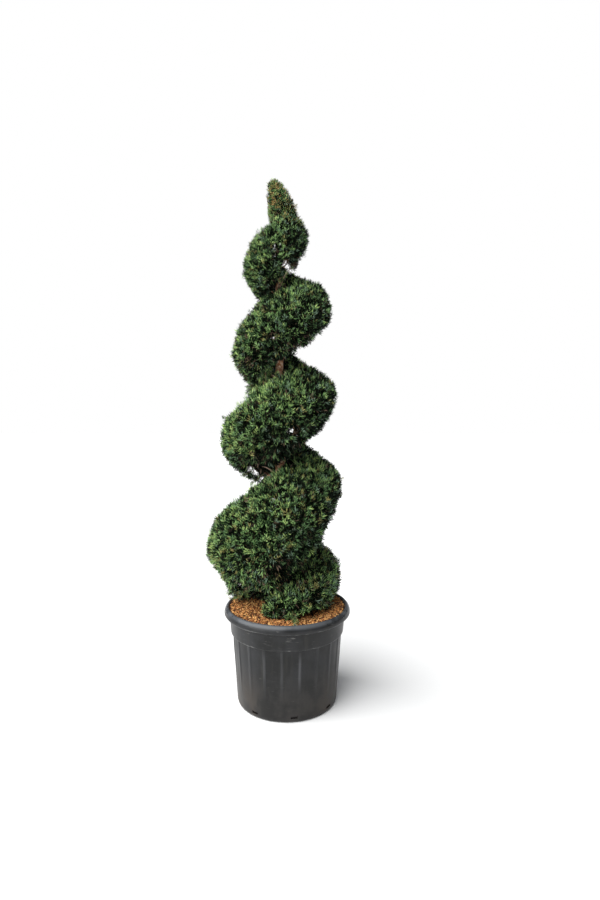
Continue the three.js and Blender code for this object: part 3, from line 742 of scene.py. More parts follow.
def make_pot():
    """The pot, with ridges up its body, drain slots round its foot and dents in its collar."""
    drains = (DRAIN_FIRST + np.arange(DRAINS) / DRAINS) % 1.0
    slot_half = 0.5 * DRAIN_WIDE / BODY_FOOT_RADIUS / TURN
    turns = pot_turns(drains, slot_half)
    profile = pot_profile()
    for slot_z in [DRAIN_HEIGHT + share * DRAIN_HIGH for share in DRAIN_ROWS]:
        at = int(np.argmax((profile[:, 1] > slot_z) & (profile[:, 0] > FOOT_RADIUS)))
        share = (slot_z - profile[at - 1, 1]) / (profile[at, 1] - profile[at - 1, 1])
        profile = np.insert(profile, at, lerp(profile[at - 1], profile[at], share), 0)
    radius = np.repeat(profile[1:-1, 0][:, None], len(turns), 1)
    z = np.repeat(profile[1:-1, 1][:, None], len(turns), 1)
    angle = np.repeat(TURN * turns[None], len(radius), 0)
    outer = np.arange(len(radius))[:, None] <= int(np.argmax(profile[1:-1, 1]))

    grown = smooth_step(z, *FLUTE_FADE) * (z < POT_HEIGHT - COLLAR_DROP)
    swing = 0.5 * FLUTES * (angle + TURN / 4 - FLUTE_ANGLE)
    between_ribs = smooth_step(np.abs(np.sin(swing)), *RIB_EDGES)
    radius = radius - np.where(outer, FLUTE_DEPTH * grown * between_ribs, 0)
    dents = lattice_noise(z / POT_HEIGHT, turns[None] + 0 * z, 7, 12, 11)
    radius = radius + np.where(outer, DENT_DEPTH * dents * smooth_step(z, *DENT_FADE), 0)
    away = np.abs((turns[None] - drains[:, None] + 0.5) % 1.0 - 0.5).min(0)
    in_slot = np.abs(z - DRAIN_HEIGHT) < DRAIN_ROW_LIMIT * DRAIN_HIGH
    in_slot &= (away < DRAIN_SIDE_LIMIT * slot_half)[None]
    radius = radius - np.where(outer & in_slot, DRAIN_DEPTH, 0)

    middles = [[0, 0, profile[0, 1]], [0, 0, profile[-1, 1]]]
    points = np.concatenate([polar(radius, angle, z).reshape(-1, 3), middles])
    faces = capped_faces(*radius.shape)
    centres = points[faces].mean(1)
    sunk = off_middle(centres) < body_radius(centres[:, 2]) - WALL
    slot_shade_faces = sunk & (np.abs(centres[:, 2] - DRAIN_HEIGHT) < DRAIN_ROW_LIMIT * DRAIN_HIGH)
    # Faces inside the drain slots get a black, dull material as painted shade in the recesses
    materials = [pot_plastic(), plain_material("pot_slot_shade", (0.001, 0.001, 0.001), 1.0, 0.0)]
    shell = make_piece("pot_shell", points, faces, materials, ["pot"], slot_shade_faces, True)
    shell.data.set_sharp_from_angle(angle=SHARP_EDGE)


# Soil and bark chips
CHIPS = 8600
CHIP_LENGTH = (0.005, 0.013)
CHIP_WIDTH = (0.22, 0.5)
CHIP_THICKNESS = (0.0016, 0.0042)
CHIP_LIFT = (-0.001, 0.006)
CHIP_TILT = (0.30, 0.35)
CHIP_UNEVEN = (0.55, 1.15)
CHIP_FROM_WALL = 0.003
CHIP_PAST_SOIL = 0.0005
CHIP_SHADES = {
    "chip_tan": (0.84, 0.500, 0.190),
    "chip_orange": (0.69, 0.315, 0.098),
    "chip_brown": (0.350, 0.141, 0.052),
    "chip_red": (0.150, 0.045, 0.018),
    "chip_dark": (0.030, 0.012, 0.006),
}
CHIP_MIX = (0.21, 0.33, 0.25, 0.14, 0.07)


def soil_height(points):
    """The soil's lumpy surface, nearly level from the trunk to the pot's wall."""
    radius = off_middle(points)
    out = np.clip((radius - SOIL_FLAT) / (SOIL_RADIUS - SOIL_FLAT), 0, 1)
    turn = np.arctan2(points[..., 1], points[..., 0]) / TURN
    lumps = lattice_noise(radius / RIM_RADIUS, turn, 12, 26, 21)
    return lerp(SOIL_TOP, SOIL_EDGE, out) + SOIL_LUMPS * lumps


def make_soil():
    """A closed bed of compost with a crumbly top that fills the upper part of the pot."""
    rows, columns = 46, 160
    ring = TURN * np.arange(columns) / columns
    radius, angle = np.meshgrid(np.linspace(SOIL_MIDDLE, SOIL_RADIUS, rows), ring, indexing="ij")
    top = polar(radius, angle)
    top[..., 2] = soil_height(top)
    below = (
        (COLLAR_TOP_RADIUS - WALL - SOIL_CLEAR, POT_HEIGHT - LIP_DROP),
        (COLLAR_FOOT_RADIUS - WALL - SOIL_CLEAR, SOIL_FOOT),
    )
    rings = [polar(wide, ring, z) for wide, z in below]
    points = np.concatenate([top.reshape(-1, 3), *rings, [[0, 0, SOIL_TOP], [0, 0, SOIL_FOOT]]])
    faces = capped_faces(rows + len(rings), columns)[:, ::-1]
    make_piece("soil_bed", points, faces, [soil_material()], ["soil"], smooth=True)


def turned(yaw, pitch, roll):
    """Rotation matrices from three angles."""
    cy, sy, cp, sp, cr, sr = (f(a) for a in (yaw, pitch, roll) for f in (np.cos, np.sin))
    one, none = np.ones_like(cy), np.zeros_like(cy)
    about_z = np.stack([cy, -sy, none, sy, cy, none, none, none, one], -1).reshape(-1, 3, 3)
    about_y = np.stack([cp, none, sp, none, one, none, -sp, none, cp], -1).reshape(-1, 3, 3)
    about_x = np.stack([one, none, none, none, cr, -sr, none, sr, cr], -1).reshape(-1, 3, 3)
    return about_z @ about_y @ about_x


def make_chips():
    """Splinters and flakes of bark, tossed over the soil right up to the pot's wall."""
    rng = np.random.default_rng(SEED + 100)
    radius = (SOIL_RADIUS - CHIP_FROM_WALL) * np.sqrt(rng.uniform(0, 1, CHIPS))
    place = polar(radius, TURN * rng.uniform(0, 1, CHIPS))
    clear = np.hypot(place[:, 0] - TRUNK_FOOT_X, place[:, 1]) > TRUNK_FOOT_RADIUS + FLARE_RADIUS
    place, count = place[clear], int(clear.sum())
    place[:, 2] = soil_height(place) + rng.uniform(*CHIP_LIFT, count)
    length = lerp(*CHIP_LENGTH, rng.beta(1.4, 2.6, count))
    width = length * rng.uniform(*CHIP_WIDTH, count)
    size = np.stack([length, width, rng.uniform(*CHIP_THICKNESS, count)], -1)
    half = (-0.5, 0.5)
    corner = np.array([[x, y, z] for x in half for y in half for z in half])
    shape = corner[None] * rng.uniform(*CHIP_UNEVEN, (count, 8, 3)) * size[:, None]
    yaw = rng.uniform(0, TURN, count)
    pitch, roll = (rng.normal(0, tilt, count) for tilt in CHIP_TILT)
    points = np.einsum("nij,nkj->nki", turned(yaw, pitch, roll), shape) + place[:, None]
    points = points[off_middle(points).max(1) < SOIL_RADIUS + CHIP_PAST_SOIL]
    cube = np.array([
        [0, 1, 3], [0, 3, 2], [4, 6, 7], [4, 7, 5], [0, 4, 5], [0, 5, 1],
        [2, 3, 7], [2, 7, 6], [0, 2, 6], [0, 6, 4], [1, 5, 7], [1, 7, 3],
    ])
    faces = (cube[None] + 8 * np.arange(len(points))[:, None, None]).reshape(-1, 3)
    shades = np.repeat(rng.choice(len(CHIP_MIX), len(points), p=CHIP_MIX), len(cube))
    materials = shade_materials(CHIP_SHADES, roughness=0.85, specular=0.3)
    make_piece("bark_chips", points.reshape(-1, 3), faces, materials, shades=shades)


# Trunk and boughs
def make_trunk(bark):
    """The whole trunk, from its flat cut at the soil to the foot of the top mass, with peeling bark."""
    rows, columns = 330, 40
    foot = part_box("trunk")[0].z
    share, turn = np.meshgrid(np.linspace(0, 1, rows), np.arange(columns) / columns, indexing="ij")
    z = lerp(foot, TRUNK_TOP, share**TRUNK_RINGS_LOW)
    flare = flare_radius(z) * (1 + FLARE_DEPTH * np.cos(FLARE_LOBES * TURN * turn))
    ridges = lattice_noise(share, turn, 60, 13, 31)
    flakes = lattice_noise(share, turn, 150, 20, 32)
    relief = 1 + TRUNK_RELIEF * ridges + TRUNK_RELIEF * np.maximum(flakes, 0)
    points = around_trunk(turn, (trunk_radius(z) + flare) * relief, z).reshape(-1, 3)
    points = np.concatenate([points, [trunk_axis(foot), trunk_axis(TRUNK_TOP)]])
    faces = capped_faces(rows, columns)
    make_piece("trunk_bark", points, faces, [bark], ["trunk"], smooth=True)


def bough_line(first, last):
    """A bough's foot in the trunk, its tip, its direction and its radius, by the solids' rule."""
    turn = (first + last) / 2
    half = band_half(turn) - FUR_UP * spray_scale(turn)
    floor = (POT_HEIGHT + CORE_GAP - band_middle(turn)) / half
    underside = band_middle(turn) + half * max(floor, -CORE_TURNED_IN)
    grounded = underside < SOIL_TOP + BOUGH_NEAR_SOIL
    entry_z = underside + (BOUGH_GROUNDED if grounded else 0)
    further = BOUGH_ENTRY_LEAST + BOUGH_ENTRY_SHARE * outline_radius(turn, entry_z)
    entry_radius = trunk_reach(entry_z) + (TRUNK_ROOM if grounded else further)
    inside = trunk_radius(entry_z) / 2
    foot_z = entry_z - BOUGH_CLIMB * (entry_radius - inside)
    foot = around_trunk(turn, inside, foot_z)
    entry = around_trunk(turn, entry_radius, entry_z)
    along = unit(entry - foot)
    radius = min(BOUGH_RADIUS, BOUGH_SHARE * trunk_radius(foot_z))
    return foot, entry - along * STEM_SHOWS, along, radius


def sectors():
    """The two ends of each mass, in turns."""
    ends = np.linspace(MASSES_FIRST, MASSES_LAST, MASSES + 1)
    return list(zip(ends[:-1], ends[1:]))


def curved(start, end, steps, bow):
    """Points from start to end for each of n lines, bowed sideways in the middle."""
    share = np.linspace(0, 1, steps)[None, :, None]
    return start[:, None] * (1 - share) + end[:, None] * share + bow[:, None] * 4 * share * (1 - share)


def make_boughs(bark):
    """The boughs between the trunk and the masses, a little crooked, with bark."""
    share = np.linspace(0, 1, 14)
    paths, radii = [], []
    for i, (first, last) in enumerate(sectors()):
        foot, tip, _, radius = bough_line(first, last)
        wander = np.random.default_rng(SEED + 40 + i).normal(0, BOUGH_WANDER, 3)
        paths.append(curved(foot[None], tip[None], len(share), wander[None])[0])
        radii.append(radius * lerp(1, BOUGH_TAPER, share) * (1 + BOUGH_KNOTS * np.sin(9 * share + i)))
    points, faces = tubes(np.array(paths), np.array(radii), 12, pointed=False)
    nodes = sorted(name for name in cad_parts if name.startswith("bough_"))
    make_piece("boughs_bark", points, faces, [bark], nodes, smooth=True)


# Sprays of needles
# Painted shade: needle_black_shade and needle_dark_shade are near-black needles for the shade inside the
# crown and between shoots; the dark one is partly the older needles' own deeper green.
NEEDLE_SHADES = {
    "needle_black_shade": (0.002, 0.004, 0.002),
    "needle_dark_shade": (0.005, 0.010, 0.0045),
    "needle_green": (0.114, 0.222, 0.086),
    "needle_blue": (0.205, 0.315, 0.212),
    "needle_fresh": (0.300, 0.495, 0.175),
    "needle_lime": (0.460, 0.630, 0.210),
    "needle_olive": (0.360, 0.340, 0.120),
    "needle_bronze": (0.400, 0.260, 0.095),
    "needle_brown": (0.170, 0.120, 0.080),
}
SHADE_NAMES = list(NEEDLE_SHADES)
# Each kind of spray has a shade for its older needles and one for its youngest
SPRAY_KINDS = {
    "painted_shade": ("needle_black_shade", "needle_dark_shade"),
    "plain": ("needle_dark_shade", "needle_green"),
    "bluish": ("needle_dark_shade", "needle_blue"),
    "lively": ("needle_dark_shade", "needle_fresh"),
    "young": ("needle_green", "needle_lime"),
    "olive": ("needle_dark_shade", "needle_olive"),
    "bronze": ("needle_green", "needle_bronze"),
    "dry": ("needle_black_shade", "needle_brown"),
}
KINDS = {name: i for i, name in enumerate(SPRAY_KINDS)}
GOLDEN_ANGLE = math.radians(137.5)
SPRAY_PATTERNS = 14
SPRAY_SPACING = 0.0118
# Lines along and over a mass of the grid that gives its area, and tries for each square of the spacing
SPRAY_GRID = (40, 60)
SPRAY_TRIES = 5
SPRAY_LENGTH = 0.024
SPRAY_REACH = 0.042
# Needles of a leading, a side and an old shoot: how many, their length and width
NEEDLES = (7, 0.0240, 0.0034)
SIDE_NEEDLES = (4, 0.0210, 0.0032)
OLD_NEEDLES = (7, 0.036, 0.0085)
NEEDLE_SPREAD = (58, 20)
NEEDLE_TAPER = (1.05, 0.8)
NEEDLE_SIZES = (0.8, 1.15)
NEEDLE_SCATTER = 0.2
NEEDLE_TILT = 0.12
NEEDLE_BOW = 0.04
NEEDLE_FOLD = 0.25
NEEDLE_CURL = 0.10
YOUTH_BY_PLACE = 0.4
SIDE_SHOOT_FROM = 0.25
SIDE_SHOOT_SIZE = 0.6
SIDE_SHOOT_LEAN = (0.55, 0.85)
SPRAY_SIZES = (0.82, 1.12)
SPRAY_WANDER = 0.32
SPRAY_UNEVEN = 0.005
OLD_SHOOT_LENGTH = 0.036
OLD_SHOOTS = 9
OLD_SPAN = (0.15, 0.88)
OLD_SIZES = (0.75, 1.05)
OLD_WANDER = 0.75
OLD_SHADED = 0.82
YOUTH_LIMITS = (0.40, 0.72)
# Heights over which the kinds of spray of the crown's top and of its foot take over
TOP_FADE = (2.32, 2.52)
LOW_FADE = (0.80, 0.55)
MOOD_SHARE = 0.22
CLUMP_SPACING = 0.036
CLUMP_REACH = 0.029
CLUMP_DOME = 0.009
CLUMP_FAN = 0.30
CLUMP_DEPTH = 0.052
CLUMP_SUNK_MOST = 1.4
SPRAY_LIFT = (0.60, 0.10)
SPRAY_LIFT_LIMIT = -0.3
LEAD_SPACING = 0.200
LEAD_DEPTH = 0.075
LEAD_SHIFT = 0.6
LEAD_ALONG = 0.85
LEAD_OVER = 1.2
SPINE_SPAN = np.linspace(0.06, 0.44, 8)
SPINE_REACH = np.linspace(0.40, 0.55, 8)
SPINE_LOW = 0.12
SPINE_OVER_SOIL = 0.03
SPINE_ENTRY = 0.03
STRAY_SHARE = 0.03
STRAY_FADE = 6
STRAY_REACH = 0.014
BARE_UNDERSIDE = 0.30
BARE_FADE = (0.3, 0.8)
FINER_FROM = (3.1, 4.1)
FINER_SIZE = 0.85
FINER_OLD_SIZE = 0.64
HOLLOW_SHARE = 0.85
HOLLOW_SHADE = 1.15
HOLLOW_SHADED = 0.8
TUFT_SHARE = 0.7
GAP_MARGIN = 0.006
GAP_CHECKS = (0.3, 0.65, 1.0)
# Room that keeps tips, old shoots and limbs inside the crown's limits
TIP_ROOM = 0.004
OLD_ROOM = -0.01
LIMB_ROOM = -0.03
# Towards the key light: the sprays' kinds follow it as painted light and shade
SUNNY = unit(np.array([-0.70, -0.25, 0.67]))

# Places on the upright plane through the trunk, as x, z and radius, where a line of sight meets sky
SKY_GAPS = (
    (-0.084, 2.251, 0.001),
    (-0.017, 2.155, 0.012),
    (-0.006, 2.178, 0.008),
    (0.005, 2.136, 0.011),
    (-0.124, 1.771, 0.006),
    (-0.075, 1.769, 0.014),
    (0.020, 1.284, 0.012),
    (0.048, 1.286, 0.011),
    (-0.191, 1.101, 0.011),
    (-0.160, 1.080, 0.013),
    (-0.130, 1.051, 0.009),
    (-0.236, 0.531, 0.008),
)
# The same for dark hollows in the near side of the crown: sprays left out, painted shade round them
HOLLOWS = (
    (-0.068, 0.584, 0.038),
    (-0.030, 0.580, 0.040),
    (0.027, 1.849, 0.022),
    (-0.156, 1.246, 0.018),
    (0.148, 0.478, 0.026),
    (-0.099, 1.116, 0.020),
    (-0.169, 1.656, 0.022),
    (0.060, 1.474, 0.016),
    (-0.031, 0.401, 0.018),
    (0.142, 0.434, 0.018),
)
# The same for tufts of fresh growth
FRESH_TUFTS = ((-0.102, 1.575, 0.034), (-0.125, 1.530, 0.028), (-0.111, 0.444, 0.024))

# Loose shoots that stand clear of the clipped skin: where each leaves its mass or the trunk, and its end
WISPS = (
    ((-0.130, -0.04, 1.586), (-0.190, -0.04, 1.484)),
    ((-0.154, 0.00, 1.620), (-0.210, 0.00, 1.512)),
    ((-0.142, -0.02, 1.600), (-0.200, -0.02, 1.495)),
    ((-0.150, 0.00, 1.560), (-0.205, 0.00, 1.500)),
    ((-0.155, -0.02, 1.540), (-0.190, -0.02, 1.470)),
    ((-0.140, 0.02, 1.530), (-0.172, 0.02, 1.468)),
    ((-0.160, 0.00, 1.530), (-0.212, 0.00, 1.478)),
    ((-0.270, 0.02, 1.350), (-0.335, 0.02, 1.352)),
    ((-0.109, 0.00, 1.080), (-0.180, 0.00, 1.026)),
    ((-0.152, 0.03, 1.108), (-0.229, 0.03, 1.057)),
    ((-0.086, -0.06, 1.077), (-0.125, -0.06, 1.038)),
    ((-0.201, -0.06, 0.587), (-0.268, -0.06, 0.535)),
    ((-0.215, -0.04, 0.575), (-0.280, -0.04, 0.548)),
    ((-0.225, -0.04, 0.560), (-0.285, -0.04, 0.512)),
    ((-0.232, -0.04, 0.545), (-0.272, -0.04, 0.482)),
    ((-0.225, -0.02, 0.530), (-0.286, -0.02, 0.492)),
    ((-0.220, -0.02, 0.520), (-0.270, -0.02, 0.464)),
    ((-0.218, 0.00, 0.550), (-0.290, 0.00, 0.530)),
    ((-0.106, -0.10, 1.530), (-0.108, -0.11, 1.600)),
    ((-0.116, -0.10, 1.520), (-0.128, -0.11, 1.575)),
    ((0.034, -0.20, 0.474), (0.052, -0.280, 0.450)),
    ((0.030, -0.21, 0.468), (0.036, -0.272, 0.446)),
    ((-0.168, -0.10, 0.561), (-0.225, -0.10, 0.514)),
    ((-0.044, -0.06, 2.016), (-0.009, -0.06, 2.099)),
    ((-0.045, -0.06, 2.026), (-0.081, -0.06, 2.109)),
    ((-0.024, -0.06, 2.057), (0.017, -0.06, 2.120)),
    ((-0.070, -0.07, 1.554), (-0.100, -0.07, 1.604)),
    ((-0.020, -0.07, 1.544), (0.013, -0.07, 1.604)),
    ((-0.047, -0.09, 1.523), (-0.052, -0.09, 1.568)),
    ((-0.036, -0.08, 1.138), (0.004, -0.08, 1.187)),
    ((-0.040, -0.09, 1.042), (-0.070, -0.09, 1.095)),
    ((-0.035, -0.09, 1.042), (0.014, -0.09, 1.090)),
    ((-0.024, -0.09, 0.530), (-0.053, -0.09, 0.605)),
    ((-0.029, -0.09, 0.530), (0.015, -0.09, 0.623)),
)
# Pale bare twigs in front of the trunk
BARE_TWIGS = (
    ((-0.038, -0.04, 2.031), (-0.024, -0.06, 2.062), (-0.006, -0.07, 2.094), (0.017, -0.08, 2.115)),
    ((-0.006, -0.07, 2.094), (-0.013, -0.08, 2.107), (-0.019, -0.08, 2.123), (-0.021, -0.09, 2.135)),
    ((-0.045, -0.04, 2.041), (-0.063, -0.06, 2.062), (-0.082, -0.08, 2.084), (-0.114, -0.10, 2.120)),
    ((-0.043, -0.05, 1.530), (-0.055, -0.07, 1.549), (-0.067, -0.08, 1.563), (-0.080, -0.08, 1.571)),
    ((-0.038, -0.05, 1.525), (-0.027, -0.07, 1.544), (-0.017, -0.07, 1.569), (-0.010, -0.07, 1.599)),
    ((-0.039, -0.05, 1.076), (-0.071, -0.07, 1.091), (-0.102, -0.08, 1.111), (-0.129, -0.08, 1.118)),
    ((-0.039, -0.05, 1.076), (-0.016, -0.07, 1.098), (0.009, -0.08, 1.109), (0.033, -0.08, 1.133)),
)
WISP_SPRAYS = 14
WISP_KINDS = ("plain", "bluish", "lively", "lively", "young", "olive")
WISP_SIZES = (0.40, 0.70)
WISP_SPAN = (0.1, 1.0)
WISP_WANDER = 0.40
INNER_SHOOTS = 26
INNER_REACH = (0.015, 0.075)
INNER_RISE = 0.85


def shoot(rng, foot, direction, length, needles, needle_length, needle_width):
    """A shoot with needles all round it. Returns its points, faces and how young each face is."""
    share = (np.arange(needles) + 0.6) / needles
    around = GOLDEN_ANGLE * np.arange(needles) + rng.uniform(0, TURN)
    around = around + rng.normal(0, NEEDLE_SCATTER, needles)
    spread = np.radians(lerp(*NEEDLE_SPREAD, share)) + rng.normal(0, NEEDLE_TILT, needles)
    across, other = across_and_other(direction, [1.0, 0, 0] if abs(direction[0]) < 0.8 else [0, 1.0, 0])
    cosine, sine = np.cos(around)[:, None], np.sin(around)[:, None]
    out = cosine * across + sine * other
    side = -sine * across + cosine * other
    along = np.cos(spread)[:, None] * direction + np.sin(spread)[:, None] * out
    size = (needle_length * lerp(*NEEDLE_TAPER, share) * rng.uniform(*NEEDLE_SIZES, needles))[:, None]
    root = foot + direction * (length * share)[:, None]
    middle = root + along * (0.5 * size) + NEEDLE_BOW * size * out
    fold = NEEDLE_FOLD * needle_width * np.cross(side, along)
    left = middle + side * needle_width / 2 + fold
    right = middle - side * needle_width / 2 + fold
    tip = root + along * size + direction * (NEEDLE_CURL * size)
    points = np.stack([root, left, right, tip], 1).reshape(-1, 3)
    kite = np.array([[0, 2, 3], [0, 3, 1]])
    faces = (kite[None] + 4 * np.arange(needles)[:, None, None]).reshape(-1, 3)
    youth = lerp(rng.uniform(0, 1, needles), share, YOUTH_BY_PLACE)
    return points, faces, np.repeat(youth, 2)


def spray_pattern(seed):
    """A small branch along +Z: a leading shoot and one that branches off it."""
    rng = np.random.default_rng(SEED + 200 + seed)
    parts = [shoot(rng, np.zeros(3), UP, SPRAY_LENGTH, *NEEDLES)]
    lean = rng.uniform(*SIDE_SHOOT_LEAN)
    around = rng.uniform(0, TURN)
    sideways = np.array([math.cos(around), math.sin(around), 0.0])
    direction = math.sin(lean) * sideways + math.cos(lean) * UP
    foot = UP * SPRAY_LENGTH * SIDE_SHOOT_FROM
    parts.append(shoot(rng, foot, direction, SIDE_SHOOT_SIZE * SPRAY_LENGTH, *SIDE_NEEDLES))
    return joined(parts)


def old_pattern(seed):
    """An older shoot from inside the crown, with long dark needles."""
    rng = np.random.default_rng(SEED + 300 + seed)
    return shoot(rng, np.zeros(3), UP, OLD_SHOOT_LENGTH, *OLD_NEEDLES)


PATTERNS = [spray_pattern(i) for i in range(SPRAY_PATTERNS)]
OLD_PATTERNS = [old_pattern(i) for i in range(SPRAY_PATTERNS)]


def grown(patterns, roots, directions, scales, kinds, rng):
    """Copies of the patterns, set at their roots, facing their directions and coloured by their kinds."""
    count = len(roots)
    across, other = across_and_other(directions, unit(rng.normal(size=(count, 3))))
    turns = np.stack([across, other, directions], -1)
    which = rng.integers(0, len(patterns), count)
    ages = np.array([[SHADE_NAMES.index(shade) for shade in pair] for pair in SPRAY_KINDS.values()])
    parts = []
    for i, (shape, faces, youth) in enumerate(patterns):
        mine = np.flatnonzero(which == i)
        if not len(mine):
            continue
        points = np.einsum("nij,kj->nki", turns[mine], shape) * scales[mine, None, None] + roots[mine, None]
        all_faces = faces[None] + (len(shape) * np.arange(len(mine)))[:, None, None]
        young = youth[None] > rng.uniform(*YOUTH_LIMITS, (len(mine), 1))
        shades = ages[kinds[mine, None], young.astype(int)]
        parts.append((points.reshape(-1, 3), all_faces.reshape(-1, 3), shades.ravel()))
    return joined(parts)


# Where the sprays stand
def point_tree(points):
    tree = KDTree(len(points))
    for i, point in enumerate(points):
        tree.insert(point, i)
    tree.balance()
    return tree


def nearest(bearers, points):
    """For each point, which of the bearers is nearest."""
    tree = point_tree(bearers)
    return np.array([tree.find(point)[1] for point in points])


def spread_out(points, spacing):
    """Which points to keep, in their own order, so that no two lie closer than the spacing."""
    tree = point_tree(points)
    dropped = np.zeros(len(points), bool)
    kept = []
    for i, point in enumerate(points):
        if dropped[i]:
            continue
        kept.append(i)
        for _, j, _ in tree.find_range(point, spacing):
            dropped[j] = True
    return np.array(kept)


def scattered(place, rng, first, last, spacing):
    """Places that lie evenly, if not in rows, over a surface given by turn and over."""
    turns = np.linspace(first, last, SPRAY_GRID[0])
    overs = np.linspace(0, 1, SPRAY_GRID[1])
    grid = place(*np.meshgrid(turns, overs, indexing="ij"))
    along, across = np.diff(grid, axis=0)[:, :-1], np.diff(grid, axis=1)[:-1]
    area = np.linalg.norm(np.cross(along, across), axis=-1)
    tries = int(SPRAY_TRIES * area.sum() / spacing**2)
    cell = rng.choice(area.size, tries, p=area.ravel() / area.sum())
    row, column = np.divmod(cell, area.shape[1])
    turn = lerp(turns[0], turns[-1], (row + rng.uniform(0, 1, tries)) / (len(turns) - 1))
    over = (column + rng.uniform(0, 1, tries)) / (len(overs) - 1)
    kept = spread_out(place(turn, over), spacing)
    return turn[kept], over[kept]


def in_reach(points, room=TIP_ROOM):
    """True above the soil, under the crown's pointed top and on its left no further out than it."""
    axis = trunk_axis(points[..., 2])
    out = np.hypot(points[..., 0] - axis[..., 0], points[..., 1] - axis[..., 1])
    flat = np.where(points[..., 0] < axis[..., 0], TOP_ROUND_LEFT, TOP_ROUND)
    ceiling = TIP_TOP + room - TOP_SLOPE * np.maximum(out - flat, 0)
    beside = (points[..., 2] > TIP_FOOT - TIP_SKIRT) & (axis[..., 0] - points[..., 0] > TIP_LEFT)
    return (points[..., 2] > lowest_foliage(points)) & (points[..., 2] < ceiling) & ~beside


def off_sight_line(points, x, z):
    """How far points lie from the line of sight through a place on the plane through the trunk."""
    place = np.array([x, 0.0, z])
    along = unit(place - CAMERA_AT)
    offset = points - CAMERA_AT
    ahead = offset @ along
    away = np.linalg.norm(offset - ahead[..., None] * along, axis=-1)
    return away * np.linalg.norm(place - CAMERA_AT) / ahead


def clear_of_sky(roots, tips):
    """False for the sprays that would close one of the gaps where sky shows."""
    clear = np.ones(len(roots), bool)
    for x, z, radius in SKY_GAPS:
        for share in GAP_CHECKS:
            clear &= off_sight_line(lerp(roots, tips, share), x, z) > radius + GAP_MARGIN
    return clear


def in_hollow(points):
    """True for the sprays that would close one of the dark hollows."""
    inside = np.zeros(len(points), bool)
    for x, z, radius in HOLLOWS:
        inside |= off_sight_line(points, x, z) < radius
    return inside & (points[:, 1] < 0)


def spray_kinds(rng, points, normals, mood, sunk):
    """Painted light and shade dealt by spray: yellower, livelier sprays where the crown faces the key
    light, partly new growth, and darker, bluer ones facing away, under the band, in the dips and round the
    hollows.
    Bronze ones at its top, fewer dark ones near its foot, and young ones in the fresh tufts.
    """
    count = len(points)
    sunny = np.clip(smooth_step(normals @ SUNNY, -0.6, 1.0) + MOOD_SHARE * mood, 0, 1)
    under = smooth_step(-normals[:, 2], 0.2, 0.9)
    top = smooth_step(points[:, 2], *TOP_FADE)
    low = smooth_step(points[:, 2], *LOW_FADE)
    shade_weight = 0.08 + 0.50 * (1 - sunny) ** 2 + 0.22 * under + 0.45 * sunk
    weights = {
        "painted_shade": shade_weight * (1 - 0.6 * top - 0.5 * low),
        "plain": 0.34,
        "bluish": 0.17 - 0.10 * sunny + 0.15 * low,
        "lively": 0.06 + 0.40 * sunny + 0.20 * low,
        "young": 0.24 * sunny**2 + 0.10 * low,
        "olive": 0.02 + 0.06 * sunny + 0.60 * top + 0.08 * low,
        "bronze": 0.55 * top * (0.4 + sunny),
        "dry": 0.005 + 0.12 * under + 0.10 * low,
    }
    table = np.stack([np.maximum(weights[name], 0) + np.zeros(count) for name in KINDS], -1)
    limits = np.cumsum(table / table.sum(1, keepdims=True), 1)
    kinds = np.minimum((rng.uniform(0, 1, (count, 1)) > limits).sum(1), len(KINDS) - 1)
    # Young sprays in the fresh tufts, and the painted-shade kind round the hollows
    places = [("young", TUFT_SHARE, x, z, radius) for x, z, radius in FRESH_TUFTS]
    places += [("painted_shade", HOLLOW_SHADED, x, z, HOLLOW_SHADE * radius) for x, z, radius in HOLLOWS]
    for kind, share, x, z, radius in places:
        near = (off_sight_line(points, x, z) < radius) & (rng.uniform(0, 1, count) < share)
        kinds[near & (points[:, 1] < 0)] = KINDS[kind]
    return kinds


def cover(place, normal, rng, first, last, size):
    """A coat of sprays in little domed clumps, whose tips end at a surface.

    Returns the sprays' roots, directions, scales and kinds, and the point inside the surface that
    each clump fans out from.
    """
    turn, over = scattered(place, rng, first, last, CLUMP_SPACING * size)
    centres = place(turn, over)
    hearts = centres - CLUMP_DEPTH * size * normal(turn, over)
    moods = rng.normal(0, 1, len(centres))

    turn, over = scattered(place, rng, first, last, SPRAY_SPACING * size)
    points, normals = place(turn, over), normal(turn, over)
    mine = nearest(centres, points)
    across = (points - centres[mine]) / (CLUMP_REACH * size)
    sunk = np.clip((across**2).sum(1), 0, CLUMP_SUNK_MOST)
    lift = UP * np.where(normals[:, 2:] > SPRAY_LIFT_LIMIT, *SPRAY_LIFT)
    wander = rng.normal(0, SPRAY_WANDER, normals.shape)
    directions = unit(normals + lift + CLUMP_FAN * across + wander)
    scales = size * rng.uniform(*SPRAY_SIZES, len(points))
    stray = rng.uniform(0, 1, len(points)) < STRAY_SHARE * size**STRAY_FADE
    uneven = size * rng.normal(0, SPRAY_UNEVEN, len(points))
    reach = SPRAY_REACH * scales + uneven - STRAY_REACH * stray
    tips = points - normals * (CLUMP_DOME * size * sunk)[:, None]
    roots = tips - directions * reach[:, None]
    bare = rng.uniform(0, 1, len(points)) < BARE_UNDERSIDE * smooth_step(-normals[:, 2], *BARE_FADE)
    kept = in_reach(tips) & in_reach(roots) & clear_of_sky(roots, tips) & ~bare
    kept &= ~in_hollow(points) | (rng.uniform(0, 1, len(points)) > HOLLOW_SHARE)
    kinds = spray_kinds(rng, points, normals, moods[mine], sunk)
    hearts = hearts[in_reach(hearts, LIMB_ROOM)]
    return (roots[kept], directions[kept], scales[kept], kinds[kept]), hearts


